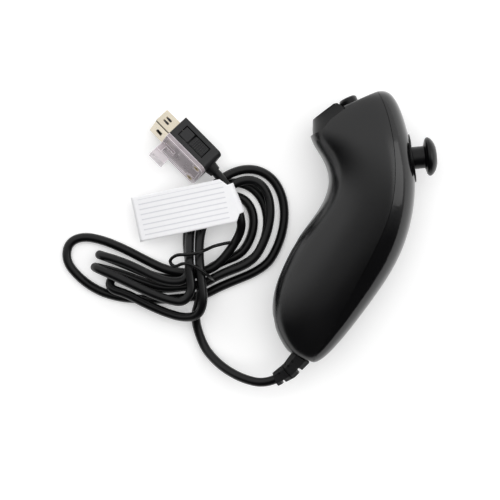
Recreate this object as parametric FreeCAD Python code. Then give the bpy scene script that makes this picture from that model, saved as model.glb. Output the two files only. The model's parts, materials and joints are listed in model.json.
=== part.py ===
import FreeCAD, Part
import math
import os

V = FreeCAD.Vector
X = V(1, 0, 0)
Y = V(0, 1, 0)
Z = V(0, 0, 1)

# One-handed motion game controller, lying on its side. Millimetres, +Z up.
# +X leaves the front face along the stick's axis, +Y runs towards the nose with the two buttons.
# The origin is under the middle of the controller, on the surface that it lies on.

# Grip: stations from nose to tail, each the back point, the face point and the half width across.
# The points are measured from the point where the stick's axis meets the face.
HALF_WIDTH = 19.1
STATIONS = [
    ((-39.9, 18.4), (-11.0, 28.2), 0.63),
    ((-40.4, 12.4), (-5.4, 24.4), 0.83),
    ((-37.2, 4.6), (-2.0, 12.3), 0.97),
    ((-35.0, -4.0), (-0.4, -2.0), 1.0),
    ((-38.6, -14.2), (-2.4, -19.6), 0.965),
    ((-48.0, -25.2), (-10.0, -38.4), 0.885),
    ((-57.8, -39.6), (-23.5, -55.8), 0.785),
    ((-63.0, -54.5), (-37.6, -70.4), 0.645),
    ((-62.0, -64.5), (-44.8, -76.2), 0.505),
    ((-58.6, -71.9), (-48.6, -77.6), 0.325),
]
SQUARENESS = 2.35
EGG = 0.06
SECTION_POINTS = 24
WALL = 2.0
NOSE_FILLET = 1.6
SEAM = [(-13.6, 31.0), (-11.8, 26.0), (-9.2, 12.0), (-9.2, -3.0), (-12.6, -19.7), (-21.5, -36.5),
        (-36.8, -59.6), (-49.6, -77.6), (-53.0, -83.0)]
SEAM_GAP = 0.2
STICK_X = 28.5
STICK_Y = 28.7
FIT = 0.3
RUNNING = 0.05

# Stick: everything turns about the pivot, on the stick's axis under the face.
PIVOT_DEPTH = 12.0
TILT = 12.0
STEM_R = 4.5
CAP_R = 7.8
CAP_RIM = 5.3
CAP_TOP = 8.9
ROD_R = 1.2
DOME_R = 11.9
DOME_WALL = 1.0
DOME_ANGLE = 60.0
GATE_INNER = 8.7
GATE_OUTER = 9.8
GATE_TOP = -0.2
GATE_DEPTH = 3.0
GATE_PROUD = 0.5
FRAME_HALF = 7.0
FRAME_TOP = 3.4
FRAME_SHEET = 0.8
YOKE_R = 2.6
YOKE_HALF = 4.0
SHAFT_R = 1.0
PIN_R = 0.6
PLATE_HALF = 1.0
BOW_INNER = 4.2
BOW_OUTER = 5.4
BOW_HALF = 2.4
POT_HALF = 4.2
POT_THICK = 2.4
SPRING_R = 4.2
SPRING_WIRE = 0.5
SPRING_TURNS = 3
COIL_POINTS = 10
SPRING_HEIGHT = 3.0
BASE_THICK = 1.6

# Main board behind the stick, on four posts of the front shell.
BOARD_THICK = 1.6
BOARD_LOW = -24.0
BOARD_HIGH = 8.5
BOARD_HALF = 14.2
POST_R = 1.7
BOARD_POSTS = [(-20.5, 9.5), (6.0, 12.6)]
BOARD_SCREW_R = 0.8
BOARD_SCREW_HEAD_R = 1.5
BOARD_SCREW_LENGTH = 6.0
HEADER_LOW = (-14.0, 1.0)
HEADER_HIGH = (-9.0, 10.0)
HEADER_DEEP = 4.5
HEADER_WALL = 0.8
PLUG_PROUD = 2.0

# Case screws, from the back: height along Y, where the head sits and where the rear boss ends.
CASE_SCREWS = [(-29.0, -36.0, -31.0), (-59.5, -51.5, -47.0)]
CASE_SCREW_R = 1.25
CASE_HEAD_R = 2.5
CASE_HEAD_HIGH = 1.8
CASE_GRIP = 10.0
WELL_R = 3.1
BOSS_WALL = 1.1

# Nose: along is measured from the back edge towards the face, up is out of the nose.
TRIGGER_LOW = 0.95
TRIGGER_PEAK = 11.0
TRIGGER_HIGH = 13.7
TRIGGER_PROUD = 2.7
TRIGGER_GAP = 0.4
TRIGGER_WALL = 1.4
TRIGGER_FRONT = -0.8
TRIGGER_INSET = 0.95
TRIGGER_SIDE = 0.8
# The shell's rim is thin round the trigger, and its flanks slide behind that rim.
# Each line runs from the back towards the face: the rim's edge, the flanks' lower end, the pocket's floor.
RIM_THICK = 0.7
RIM_EDGE = [(-8.0, -4.9), (2.4, -4.9), (7.1, -2.6), (13.3, -1.2)]
FLANK_END = [(-8.0, -5.85), (2.4, -5.85), (7.1, -3.8), (13.7, -2.2)]
POCKET_FLOOR = [(-8.0, -7.6), (2.4, -7.2), (7.1, -4.6), (14.1, -2.8)]
TRIGGER_TURN = 6.0
TRIGGER_PIVOT = (11.3, -2.7)
EAR_R = 1.8
EAR_THICK = 1.6
EAR_OUTER = 8.1
EAR_TOP = 1.15
HINGE_PIN_R = 0.8
BUTTON_AT = 17.4
BUTTON_HALF_LONG = 3.7
BUTTON_HALF_WIDE = 5.2
BUTTON_PROUD = 3.0
BUTTON_GAP = 0.25
BUTTON_TRAVEL = 1.1
BUTTON_STEM_R = 1.8
SWITCH_LEVEL = -7.4
DOME_HIGH = 1.8
RUBBER_DOME_R = 2.6
SWITCH_BOARD_THICK = 1.2
TRAY_THICK = 1.6
TRAY_LOW = 1.9
TRAY_HIGH = 23.2
TRAY_HALF = 10.0
CHEEK_THICK = 1.4

# Strain relief at the tail: its axis bends from the tail's direction to the cord's.
RELIEF_ROOT = (-53.6, -74.8, 0.0)
RELIEF_MIDDLE = (-58.6, -80.8, -0.73)
RELIEF_END = (-64.5, -82.7, -2.0)
RELIEF_HALVES = [4.0, 3.5, 2.9]
# Its cuts: how far along it, which side (across, up), width and depth.
RELIEF_CUTS = [
    (0.29, (-1, 0), 1.8, 1.9), (0.81, (-1, 0), 1.6, 1.5),
    (0.55, (0, 1), 0.6, 1.2), (0.55, (0, -1), 0.6, 1.2),
    (0.42, (1, 0), 0.6, 0.8), (0.68, (1, 0), 0.6, 0.8),
]
RELIEF_POCKETS = (0.2, 0.38, 0.77)
POCKET_WIDE = 0.9
POCKET_DEEP = 1.2
RELIEF_NECK_R = 2.7
RELIEF_FLANGE_R = 3.9

# Cord, as points in plan from the stick's axis and heights above the surface that it lies on.
CORD_R = 1.85
LEVEL_STEP = 4.35
INNER_CORD_R = 1.1
LEFT_COLUMN = -94.5
RIGHT_COLUMN = -90.2
FIRST_ROW = -37.4
ROW_PITCH = 4.5
LEAN = 60.0
OVAL_POINTS = 11
LEAD_START = 5.0
LEAD = [(-76.9, -82.0, 13.4), (-84.1, -77.6, 9.4), (-89.3, -72.4, 5.2), (-92.9, -66.6, 2.6)]
TAIL = [(-73.3, -24.2, 6.9), (-71.2, -17.4, 10.3)]
TAIL_END = 7.2
# Each turn of the hank: a column of the waist that it climbs, an oval on the right, a row back
# through the waist and a leaf on the left. Heights in curl, levels and leaf count cord layers.
TURNS = [
    {"column": RIGHT_COLUMN, "curl": [(-95.2, -55.2, 0.42), (-92.2, -48.2, 1.72), (-90.4, -42.0, 2)],
     "levels": (2, 0), "ramp": (-33.6, -20.6), "fall": 0,
     "centre": (-78.2, -20.6), "reach": 14.4, "girth": 10.4, "stop": -120, "row": 0, "row_level": 0,
     "leaf": [(-105.9, -38.2, 0), (-113.9, -34.6, 0), (-121.7, -30.2, 0), (-130.9, -25.4, 0),
              (-130.9, -25.4, 2), (-122.9, -28.6, 2), (-115.7, -32.6, 2), (-108.5, -37.4, 2),
              (-102.3, -39.7, 2)]},
    {"column": LEFT_COLUMN, "curl": [(-97.0, -39.4, 2), (-94.5, -35.0, 2)],
     "levels": (2, 0), "ramp": (-33.5, -20.5), "fall": 0,
     "centre": (-77.9, -20.4), "reach": 19.8, "girth": 15.8, "stop": -112, "row": 1, "row_level": 0,
     "leaf": [(-106.3, -42.2, 0), (-113.7, -40.3, 0), (-119.9, -37.6, 0), (-126.6, -34.0, 0),
              (-128.9, -39.4, 1), (-121.5, -42.4, 1), (-114.5, -47.2, 1), (-106.9, -51.6, 1),
              (-99.5, -54.6, 1.5)]},
    {"column": RIGHT_COLUMN, "curl": [(-93.1, -54.4, 2.4), (-90.2, -48.6, 3), (-90.4, -40.0, 3)],
     "levels": (3, 1), "ramp": (-32.2, -19.2), "fall": 0,
     "centre": (-74.9, -21.2), "reach": 21.8, "girth": 12.8, "stop": -115, "row": 1, "row_level": 1,
     "leaf": [(-106.3, -41.8, 1), (-114.3, -38.4, 1), (-122.7, -34.0, 1), (-132.9, -30.2, 1),
              (-132.9, -30.2, 3), (-125.3, -34.6, 3), (-117.5, -39.4, 3), (-109.7, -44.0, 3),
              (-103.7, -46.8, 3)]},
    {"column": LEFT_COLUMN, "curl": [(-98.3, -48.2, 3), (-94.5, -43.6, 3), (-94.7, -37.0, 3)],
     "levels": (3, 1), "ramp": (-31.4, -18.4), "fall": 1,
     "centre": (-74.1, -21.0), "reach": 26.0, "girth": 18.2, "stop": -112, "row": 2, "row_level": 0,
     "leaf": [(-106.3, -46.5, 0), (-115.3, -45.4, 0), (-124.5, -43.9, 0), (-133.3, -40.2, 0),
              (-140.5, -34.0, 0), (-145.3, -26.6, 0), (-143.7, -19.2, 0), (-137.1, -17.0, 0),
              (-128.5, -19.8, 0), (-120.3, -24.4, 0), (-112.5, -29.6, 0), (-105.3, -34.0, 0.5)]},
]
LAST_ROW = [(-97.8, -36.4, 1), (-89.9, -37.0, 1), (-82.5, -34.4, 1)]

# Twist tie round the waist of the hank, one wire.
TIE_R = 0.6
TIE = [(-77.1, -26.0, 9.0), (-82.7, -26.4, 10.0), (-86.9, -27.8, 13.4), (-89.7, -28.8, 17.0),
       (-94.9, -29.2, 17.2), (-99.3, -28.6, 16.2), (-102.7, -30.8, 14.6), (-100.7, -33.8, 14.8),
       (-96.9, -32.2, 18.1), (-93.3, -33.4, 18.1), (-88.9, -36.9, 18.0), (-86.1, -39.8, 14.6),
       (-85.5, -40.4, 9.0)]

# Blank tag: a paper strip folded round the straight run of the tail and stuck to itself.
PAPER = 0.2
TAG_SLACK = 0.3
TAG_LONG = 41.0
TAG_WIDE = 18.4
TAG_RING = 9.5
TAG_JOIN = 7.0
TAG_SHIFT = 2.2
TAG_TURN = 11.0
TAG_DROOP = 6.0

# Plug: its hood lies rolled on one long edge. Local axes: p along it from the cord's end,
# q towards the clear face, h towards the upper latch. Hood sizes are length, thickness, width.
PLUG_AXIS = (-0.627, 0.779)
PLUG_ROLL = 24.0
PLUG_END = (-83.2, 4.5)
HOOD_LONG = 21.0
HOOD_THICK = 11.9
HOOD_WIDE = 15.5
HOOD_WALL = 1.4
CLEAR_THICK = 1.9
BOOT_AT = 1.5
BOOT_LONG = 3.0
BOOT_R = 2.9
METAL_PROUD = 7.6
METAL_SEAT = 2.6
CARRIER_BACK = 5.5
METAL_THICK = 7.4
METAL_WIDE = 11.4
METAL_SHEET = 0.4
CARRIER_THICK = 3.0
CARRIER_WIDE = 5.7
CONTACT_COUNT = 3
LATCH_PIVOT = 6.8
LATCH_TURN = 2.5
LATCH_THICK = 0.9
LATCH_BAR = 4.75
LATCH_PIN_R = 0.5
HOOK_AT = 0.85
HOOK_THICK = 0.6
HOOK_SLOT = 0.9
PAD_FRONT = (13.2, 17.8)
PAD_REAR = (5.2, 12.4)
PAD_HALF = 2.4
PAD_GAP = 0.5
PLUG_SCREWS = (3.1, 5.4)
PLUG_SCREW_R = 0.7
PLUG_SCREW_HEAD_R = 1.35
SPRING_AT = 12.0
LATCH_SPRING_R = 1.3
LATCH_WIRE = 0.3


def place(shape, at):
    moved = shape.copy()
    moved.translate(at)
    return moved


def box(low, high):
    size = V(*high) - V(*low)
    return Part.makeBox(size.x, size.y, size.z, V(*low))


def rod(radius, start, end):
    line = V(*end) - V(*start)
    return Part.makeCylinder(radius, line.Length, V(*start), line)


def prism(points, low, high):
    corners = [V(x, y, low) for x, y in points]
    face = Part.Face(Part.makePolygon(corners + [corners[0]]))
    return face.extrude(V(0, 0, high - low))


def turned(profile, start, axis):
    # a closed profile of straight lines, turned once round an axis
    face = Part.Face(Part.makePolygon([V(*p) for p in profile] + [V(*profile[0])]))
    return face.revolve(V(*start), axis, 360)


def fuse(shapes):
    whole = shapes[0]
    for shape in shapes[1:]:
        whole = whole.fuse(shape)
    return whole.removeSplitter()


def tube(points, radius, name):
    # straight runs joined by tangent arcs, each sized by the shorter of its two runs
    edges = []
    start = points[0]
    radii = []
    length = 0
    for i in range(1, len(points) - 1):
        corner = points[i]
        back = points[i - 1] - corner
        ahead = points[i + 1] - corner
        reach = 0.45 * min(back.Length, ahead.Length)
        back.normalize()
        ahead.normalize()
        half = (math.pi - back.getAngle(ahead)) / 2
        bend = reach / math.tan(half)
        inward = (back + ahead).normalize()
        first = corner + back * reach
        last = corner + ahead * reach
        middle = corner + inward * (bend / math.cos(half) - bend)
        edges.append(Part.makeLine(start, first))
        edges.append(Part.Arc(first, middle, last).toShape())
        length += (first - start).Length + 2 * half * bend
        radii.append(bend)
        start = last
    edges.append(Part.makeLine(start, points[-1]))
    length += (points[-1] - start).Length
    ring = Part.Wire([Part.makeCircle(radius, points[0], points[1] - points[0])])
    solid = Part.Wire(edges).makePipeShell([ring], True, False)
    plain = math.pi * radius ** 2 * length
    print(name, "tightest bends", [round(value, 1) for value in sorted(radii)[:6]], "length",
          round(length, 1), "volume by plain tube", round(solid.Volume / plain, 4))
    return solid


def coil(radius, wire, rise, turns, name):
    # a wound wire from its foot at height zero up the Z axis
    count = turns * COIL_POINTS
    points = []
    for i in range(count + 1):
        angle = 2 * math.pi * i / COIL_POINTS
        points.append(V(radius * math.cos(angle), radius * math.sin(angle), rise * i / count))
    return tube(points, wire, name)


# Grip body

def section(station, inset, push):
    # a rounded rectangle across the grip, a little wider towards the face than towards the back
    (back_x, back_y), (face_x, face_y), share = station
    length = math.hypot(face_x - back_x, face_y - back_y)
    along_x = (face_x - back_x) / length
    along_y = (face_y - back_y) / length
    deep = length / 2 - inset
    wide = HALF_WIDTH * share - inset
    middle_x = (back_x + face_x) / 2 + along_y * push
    middle_y = (back_y + face_y) / 2 - along_x * push
    points = []
    for i in range(SECTION_POINTS):
        angle = 2 * math.pi * i / SECTION_POINTS
        c = math.cos(angle)
        s = math.sin(angle)
        out = deep * math.copysign(abs(c) ** (2 / SQUARENESS), c)
        across = wide * math.copysign(abs(s) ** (2 / SQUARENESS), s) * (1 + EGG * c)
        points.append(V(middle_x + along_x * out, middle_y + along_y * out, across))
    curve = Part.BSplineCurve()
    curve.interpolate(Points=points, PeriodicFlag=True)
    return Part.Wire([curve.toShape()])


def grip_solid(inset, beyond_nose=0):
    sections = []
    if beyond_nose:
        sections.append(section(STATIONS[0], inset, -beyond_nose))
    for i, station in enumerate(STATIONS):
        push = 0
        if i == 0 and not beyond_nose:
            push = inset
        if i == len(STATIONS) - 1:
            push = -inset
        sections.append(section(station, inset, push))
    return Part.makeLoft(sections, True, False)


def nose_edge(solid):
    # the closed edge round the nose's flat end
    closed = [edge for edge in solid.Edges if edge.isClosed()]
    return max(closed, key=lambda edge: edge.CenterOfMass.y)


def front_region(shift):
    points = [V(x + shift, y, 0) for x, y in SEAM]
    curve = Part.BSplineCurve()
    curve.interpolate(Points=points)
    far = 40.0
    last = points[-1]
    first = points[0]
    lines = Part.makePolygon([last, V(far, last.y, 0), V(far, first.y, 0), first])
    face = Part.Face(Part.Wire([curve.toShape()] + lines.Edges))
    deep = 2 * HALF_WIDTH
    return place(face.extrude(V(0, 0, 2 * deep)), V(0, 0, -deep))


def nose_placement():
    (back_x, back_y), (face_x, face_y), share = STATIONS[0]
    angle = math.degrees(math.atan2(face_y - back_y, face_x - back_x))
    return FreeCAD.Placement(V(back_x, back_y, 0), FreeCAD.Rotation(Z, angle))


def on_nose(shape):
    # from the nose's own frame (along, up, across) to the grip's frame
    moved = shape.copy()
    moved.Placement = nose_placement().multiply(moved.Placement)
    return moved


GRIP = grip_solid(0)
GRIP = GRIP.makeFillet(NOSE_FILLET, [nose_edge(GRIP)])
CAVITY = grip_solid(WALL)
MID_Z = -GRIP.optimalBoundingBox(False, False).ZMin
TO_ROW = V(STICK_X, STICK_Y, MID_Z)
PIVOT_X = -PIVOT_DEPTH
BASE_TOP = PIVOT_X - YOKE_R - FIT - SPRING_HEIGHT - 2 * FIT
BOARD_FRONT = BASE_TOP - BASE_THICK
BOARD_BACK = BOARD_FRONT - BOARD_THICK


def board_posts():
    return [(y, side * z) for y, z in BOARD_POSTS for side in (1, -1)]


def octagon(inner, low, high):
    corner = inner / math.cos(math.pi / 8)
    points = []
    for i in range(8):
        angle = math.pi / 8 + i * math.pi / 4
        points.append(V(low, corner * math.cos(angle), corner * math.sin(angle)))
    face = Part.Face(Part.makePolygon(points + [points[0]]))
    return face.extrude(V(high - low, 0, 0))


def make_front_shell(skin):
    shell = skin.common(front_region(SEAM_GAP / 2))
    posts = []
    for y, z in board_posts():
        posts.append(rod(POST_R, (BOARD_FRONT, y, z), (0, y, z)))
    for y, head, end in CASE_SCREWS:
        posts.append(rod(CASE_SCREW_R + BOSS_WALL + 0.4, (end, y, 0), (0, y, 0)))
    shell = shell.fuse([post.common(GRIP) for post in posts])
    for y, z in board_posts():
        shell = shell.cut(rod(BOARD_SCREW_R, (BOARD_FRONT, y, z), (BOARD_FRONT + BOARD_SCREW_LENGTH, y, z)))
    for y, head, end in CASE_SCREWS:
        shell = shell.cut(rod(CASE_SCREW_R, (end, y, 0), (end + CASE_GRIP, y, 0)))
    shell = shell.cut(rod(GATE_OUTER, (PIVOT_X, 0, 0), (CAP_TOP, 0, 0)))
    return shell


def make_stick_gate():
    # its top follows the face of the grip and stands a little proud of it
    ring = rod(GATE_OUTER - RUNNING, (GATE_TOP - GATE_DEPTH, 0, 0), (GATE_DEPTH, 0, 0))
    ring = ring.common(place(GRIP, V(GATE_PROUD, 0, 0)))
    return ring.cut(octagon(GATE_INNER, GATE_TOP - 2 * GATE_DEPTH, 2 * GATE_DEPTH))


def trigger_window(lower):
    # the room above a line across the nose's back corner
    high = TRIGGER_HIGH + TRIGGER_GAP
    far = 4 * WALL
    return on_nose(prism([(lower[0][0], far)] + lower + [(high, lower[-1][1]), (high, far)],
                         -HALF_WIDTH, HALF_WIDTH))


def button_hole(gap, low, high):
    ellipse = Part.Ellipse(V(BUTTON_AT, low, 0), BUTTON_HALF_WIDE + gap, BUTTON_HALF_LONG + gap)
    edge = ellipse.toShape()
    edge.rotate(V(BUTTON_AT, low, 0), X, 90)
    edge.rotate(V(BUTTON_AT, low, 0), Y, 90)
    return Part.Face(Part.Wire([edge])).extrude(V(0, high - low, 0))


def make_rear_shell(skin):
    shell = skin.cut(front_region(-SEAM_GAP / 2))
    bosses = []
    for y, head, end in CASE_SCREWS:
        bosses.append(rod(WELL_R + BOSS_WALL, (-80, y, 0), (end - SEAM_GAP, y, 0)).common(GRIP))
    shell = shell.fuse(bosses)
    for y, head, end in CASE_SCREWS:
        shell = shell.cut(rod(WELL_R, (-90, y, 0), (head, y, 0)))
        shell = shell.cut(rod(CASE_SCREW_R + RUNNING, (head, y, 0), (end, y, 0)))
    shell = shell.cut(trigger_window(RIM_EDGE))
    shell = shell.cut(trigger_window(POCKET_FLOOR).common(grip_solid(RIM_THICK, 2 * TRIGGER_PROUD)))
    shell = shell.cut(on_nose(button_hole(BUTTON_GAP, -2 * WALL, WALL)))
    inner, neck, out = relief_ends()
    shell = shell.cut(Part.makeCylinder(RELIEF_NECK_R, 3 * WALL, inner, out))
    return shell.cut(make_strain_relief()).cut(on_nose(make_hinge_pin()))


# Stick

def make_stick_cap():
    dome = [(PIVOT_X + math.sqrt(DOME_R ** 2 - STEM_R ** 2) + RUNNING, STEM_R)]
    under = [(CAP_RIM - 1.3, STEM_R), (CAP_RIM - 0.9, STEM_R + 0.8), (CAP_RIM - 0.5, CAP_R - 0.9),
             (CAP_RIM, CAP_R - 0.2), (CAP_RIM + 0.5, CAP_R)]
    crown = [(CAP_RIM + 1.0, CAP_R - 0.05), (CAP_RIM + 1.9, CAP_R - 0.7), (CAP_RIM + 2.8, CAP_R - 1.9),
             (CAP_TOP - 0.3, CAP_R - 3.0), (CAP_TOP, CAP_R - 3.9), (CAP_TOP - 0.35, CAP_R - 4.8),
             (CAP_TOP - 0.45, 0)]
    profile = [(x, r, 0) for x, r in dome + under + crown]
    profile.append((profile[0][0], 0, 0))
    cap = turned(profile, (0, 0, 0), X)
    cap = cap.cut(Part.makeSphere(DOME_R, V(PIVOT_X, 0, 0)))
    return cap.cut(rod(ROD_R, (PIVOT_X, 0, 0), (CAP_TOP - 2.4, 0, 0)))


def make_stick_dome():
    outer = Part.makeSphere(DOME_R, V(PIVOT_X, 0, 0))
    inner = Part.makeSphere(DOME_R - DOME_WALL, V(PIVOT_X, 0, 0))
    low = DOME_R * math.cos(math.radians(DOME_ANGLE))
    cap = outer.cut(inner).common(box((PIVOT_X + low, -20, -20), (20, 20, 20)))
    collar = rod(ROD_R + 1.2, (PIVOT_X + 8.0, 0, 0), (PIVOT_X + DOME_R - DOME_WALL / 2, 0, 0))
    return cap.fuse(collar).cut(rod(ROD_R, (PIVOT_X, 0, 0), (20, 0, 0)))


def make_stick_rod():
    plate = box((PIVOT_X - 1.8, -PLATE_HALF, -1.3), (PIVOT_X + YOKE_R + 0.8, PLATE_HALF, 1.3))
    shaft = rod(ROD_R, (PIVOT_X + YOKE_R + 0.4, 0, 0), (CAP_TOP - 2.4, 0, 0))
    return plate.fuse(shaft).cut(rod(PIN_R + RUNNING, (PIVOT_X, -5, 0), (PIVOT_X, 5, 0)))


def make_yoke():
    block = rod(YOKE_R, (PIVOT_X, 0, -YOKE_HALF), (PIVOT_X, 0, YOKE_HALF))
    reach = FRAME_HALF + POT_THICK - 0.6
    block = block.fuse(rod(SHAFT_R, (PIVOT_X, 0, -reach), (PIVOT_X, 0, reach)))
    slot = box((PIVOT_X - 5, -PLATE_HALF - 0.2, -2.5), (PIVOT_X + 5, PLATE_HALF + 0.2, 2.5))
    return block.cut(slot).cut(rod(PIN_R, (PIVOT_X, -5, 0), (PIVOT_X, 5, 0)))


def make_yoke_pin():
    return rod(PIN_R, (PIVOT_X, -YOKE_R + 0.1, 0), (PIVOT_X, YOKE_R - 0.1, 0))


def make_rocker_bow():
    low = V(PIVOT_X, 0, -BOW_HALF)
    arch = Part.makeCylinder(BOW_OUTER, 2 * BOW_HALF, low, Z)
    arch = arch.cut(Part.makeCylinder(BOW_INNER, 2 * BOW_HALF, low, Z))
    arch = arch.common(box((PIVOT_X, -10, -10), (PIVOT_X + 10, 10, 10)))
    slot = 2 * BOW_OUTER * math.sin(math.radians(TILT)) / 2 + ROD_R + 0.4
    arch = arch.cut(box((PIVOT_X + 1.5, -slot, -ROD_R - 0.25), (PIVOT_X + 10, slot, ROD_R + 0.25)))
    reach = FRAME_HALF + POT_THICK - 0.6
    ends = []
    for side in (1, -1):
        ends.append(rod(SHAFT_R + 0.5, (PIVOT_X, side * BOW_INNER, 0), (PIVOT_X, side * BOW_OUTER, 0)))
        ends.append(rod(SHAFT_R, (PIVOT_X, side * BOW_INNER, 0), (PIVOT_X, side * reach, 0)))
    return fuse([arch] + ends)


def make_stick_frame():
    top = PIVOT_X + FRAME_TOP
    half = FRAME_HALF
    inner = half - FRAME_SHEET
    frame = box((BASE_TOP, -half, -half), (top, half, half))
    frame = frame.cut(box((BASE_TOP, -inner, -inner), (top - FRAME_SHEET, inner, inner)))
    frame = frame.cut(rod(inner - 0.3, (PIVOT_X, 0, 0), (top + 1, 0, 0)))
    hole = SHAFT_R + RUNNING
    frame = frame.cut(rod(hole, (PIVOT_X, -20, 0), (PIVOT_X, 20, 0)))
    frame = frame.cut(rod(hole, (PIVOT_X, 0, -20), (PIVOT_X, 0, 20)))
    return frame


def make_pot(axis_is_y):
    # the sensor for one tilt axis, on the outside of the frame
    low = FRAME_HALF
    high = FRAME_HALF + POT_THICK
    top = PIVOT_X + 1.8
    bottom = PIVOT_X - 5.6
    if axis_is_y:
        body = box((bottom, -high, -POT_HALF), (top, -low, POT_HALF))
        return body.cut(rod(SHAFT_R + RUNNING, (PIVOT_X, -high + 0.4, 0), (PIVOT_X, 0, 0)))
    body = box((bottom, -POT_HALF, low), (top, POT_HALF, high))
    return body.cut(rod(SHAFT_R + RUNNING, (PIVOT_X, 0, 0), (PIVOT_X, 0, high - 0.4)))


def make_stick_base():
    half = FRAME_HALF + 0.6
    base = box((BOARD_FRONT, -half, -half), (BASE_TOP, half, half))
    return base.fuse(rod(SPRING_R - SPRING_WIRE - 0.3, (BASE_TOP, 0, 0), (BASE_TOP + 1.2, 0, 0)))


def make_centring_plate():
    low = BASE_TOP + SPRING_HEIGHT
    plate = rod(FRAME_HALF - FRAME_SHEET - FIT, (low, 0, 0), (low + 2 * FIT, 0, 0))
    return plate.cut(rod(2.2, (low - 1, 0, 0), (low + 2, 0, 0)))


def make_centring_spring():
    wire = SPRING_WIRE / 2
    rise = SPRING_HEIGHT - 2 * wire - 0.1
    spring = coil(SPRING_R, wire, rise, SPRING_TURNS, "centring_spring")
    spring.rotate(V(0, 0, 0), Y, 90)
    return place(spring, V(BASE_TOP + wire + 0.05, 0, 0))


# Main board

def make_main_board():
    board = box((BOARD_BACK, BOARD_LOW, -BOARD_HALF), (BOARD_FRONT, BOARD_HIGH, BOARD_HALF))
    for y, z in board_posts():
        board = board.cut(rod(BOARD_SCREW_R + RUNNING, (BOARD_BACK, y, z), (BOARD_FRONT, y, z)))
    return board


def make_board_screws():
    screws = []
    for y, z in board_posts():
        shank = rod(BOARD_SCREW_R, (BOARD_BACK, y, z), (BOARD_FRONT + BOARD_SCREW_LENGTH, y, z))
        head = rod(BOARD_SCREW_HEAD_R, (BOARD_BACK - 1.0, y, z), (BOARD_BACK, y, z))
        slot = box((BOARD_BACK - 1.2, y - 1.1, z - 0.2), (BOARD_BACK - 0.5, y + 1.1, z + 0.2))
        screws.append(shank.fuse(head).cut(slot))
    return Part.makeCompound(screws)


def chip(y, z, half_y, half_z, thick):
    body = box((BOARD_BACK - thick, y - half_y, z - half_z), (BOARD_BACK, y + half_y, z + half_z))
    back_edges = [edge for edge in body.Edges if edge.CenterOfMass.x < BOARD_BACK - thick / 2 - 0.1]
    return body.makeChamfer(0.2, back_edges)


def make_control_chip():
    return chip(-4.0, -5.0, 3.5, 3.5, 1.2)


def make_motion_sensor():
    return chip(-15.5, -6.0, 2.5, 2.5, 1.5)


def make_cable_header():
    low_y, low_z = HEADER_LOW
    high_y, high_z = HEADER_HIGH
    wall = HEADER_WALL
    socket = box((BOARD_BACK - HEADER_DEEP, low_y, low_z), (BOARD_BACK, high_y, high_z))
    well = box((BOARD_BACK - 2 * HEADER_DEEP, low_y + wall, low_z + wall),
               (BOARD_BACK - wall, high_y - wall, high_z - wall))
    return socket.cut(well)


def make_cable_plug():
    low_y, low_z = HEADER_LOW
    high_y, high_z = HEADER_HIGH
    inset = HEADER_WALL + FIT / 2
    return box((BOARD_BACK - HEADER_DEEP - PLUG_PROUD, low_y + inset, low_z + inset),
               (BOARD_BACK - HEADER_WALL, high_y - inset, high_z - inset))


def make_case_screws():
    screws = []
    for y, head, end in CASE_SCREWS:
        shank = rod(CASE_SCREW_R, (head, y, 0), (end + CASE_GRIP - 0.5, y, 0))
        top = rod(CASE_HEAD_R, (head - CASE_HEAD_HIGH, y, 0), (head, y, 0))
        cross = box((head - 3, y - 1.4, -0.3), (head - 0.8, y + 1.4, 0.3))
        cross = cross.fuse(box((head - 3, y - 0.3, -1.4), (head - 0.8, y + 0.3, 1.4)))
        screws.append(shank.fuse(top).cut(cross))
    return Part.makeCompound(screws)


# Nose: button and trigger, in the nose's own frame

def trigger_outline(inset):
    # seen from the side: a wedge that rises from the back to its peak and drops to the nose
    low = TRIGGER_LOW + inset
    high = TRIGGER_HIGH - inset
    peak = TRIGGER_PROUD - inset
    return [(low, 0.3 - inset), (low + 0.5, 0.75 - inset), (TRIGGER_PEAK, peak), (TRIGGER_PEAK + 1.4, peak - 0.35),
            (high, -inset)]


def make_trigger():
    # its flanks and its back follow the grip's own surface, inside and out
    body = prism(FLANK_END + trigger_outline(0)[::-1] + [(FLANK_END[0][0], 0.3)], -HALF_WIDTH, HALF_WIDTH)
    body = body.makeFillet(0.6, [edge for edge in body.Edges if edge.Length > 1.9 * HALF_WIDTH
                                 and edge.CenterOfMass.y > TRIGGER_PROUD - 0.5])
    roof = trigger_outline(TRIGGER_WALL)
    far, deep = FLANK_END[0][0], 2 * FLANK_END[0][1]
    hollow = prism([(2 * TRIGGER_HIGH, deep), (far, deep), (far, roof[0][1])] + roof[1:-1]
                   + [(roof[-1][0], TRIGGER_FRONT), (2 * TRIGGER_HIGH, TRIGGER_FRONT)], -HALF_WIDTH, HALF_WIDTH)
    beyond = 2 * TRIGGER_PROUD
    hollow = on_nose(hollow).common(grip_solid(TRIGGER_INSET + TRIGGER_SIDE, beyond))
    body = on_nose(body).common(grip_solid(TRIGGER_INSET, beyond)).cut(hollow)
    along, up = TRIGGER_PIVOT
    parts = []
    for side in (1, -1):
        inner_z = side * (EAR_OUTER - EAR_THICK)
        outer_z = side * EAR_OUTER
        parts.append(rod(EAR_R, (along, up, inner_z), (along, up, outer_z)))
        low_z = min(inner_z, outer_z)
        parts.append(box((along - EAR_R, up, low_z), (along + EAR_R - 0.2, EAR_TOP, low_z + EAR_THICK)))
    parts.append(box((TRIGGER_LOW + 2.2, SWITCH_LEVEL + DOME_HIGH + 0.1, -1.4), (TRIGGER_LOW + 4.6, 0.6, 1.4)))
    body = fuse([body] + [on_nose(part) for part in parts])
    return body.cut(on_nose(rod(HINGE_PIN_R + RUNNING, (along, up, -20), (along, up, 20))))


def make_hinge_pin():
    along, up = TRIGGER_PIVOT
    reach = TRAY_HALF - 3 * FIT
    return rod(HINGE_PIN_R, (along, up, -reach), (along, up, reach))


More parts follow.
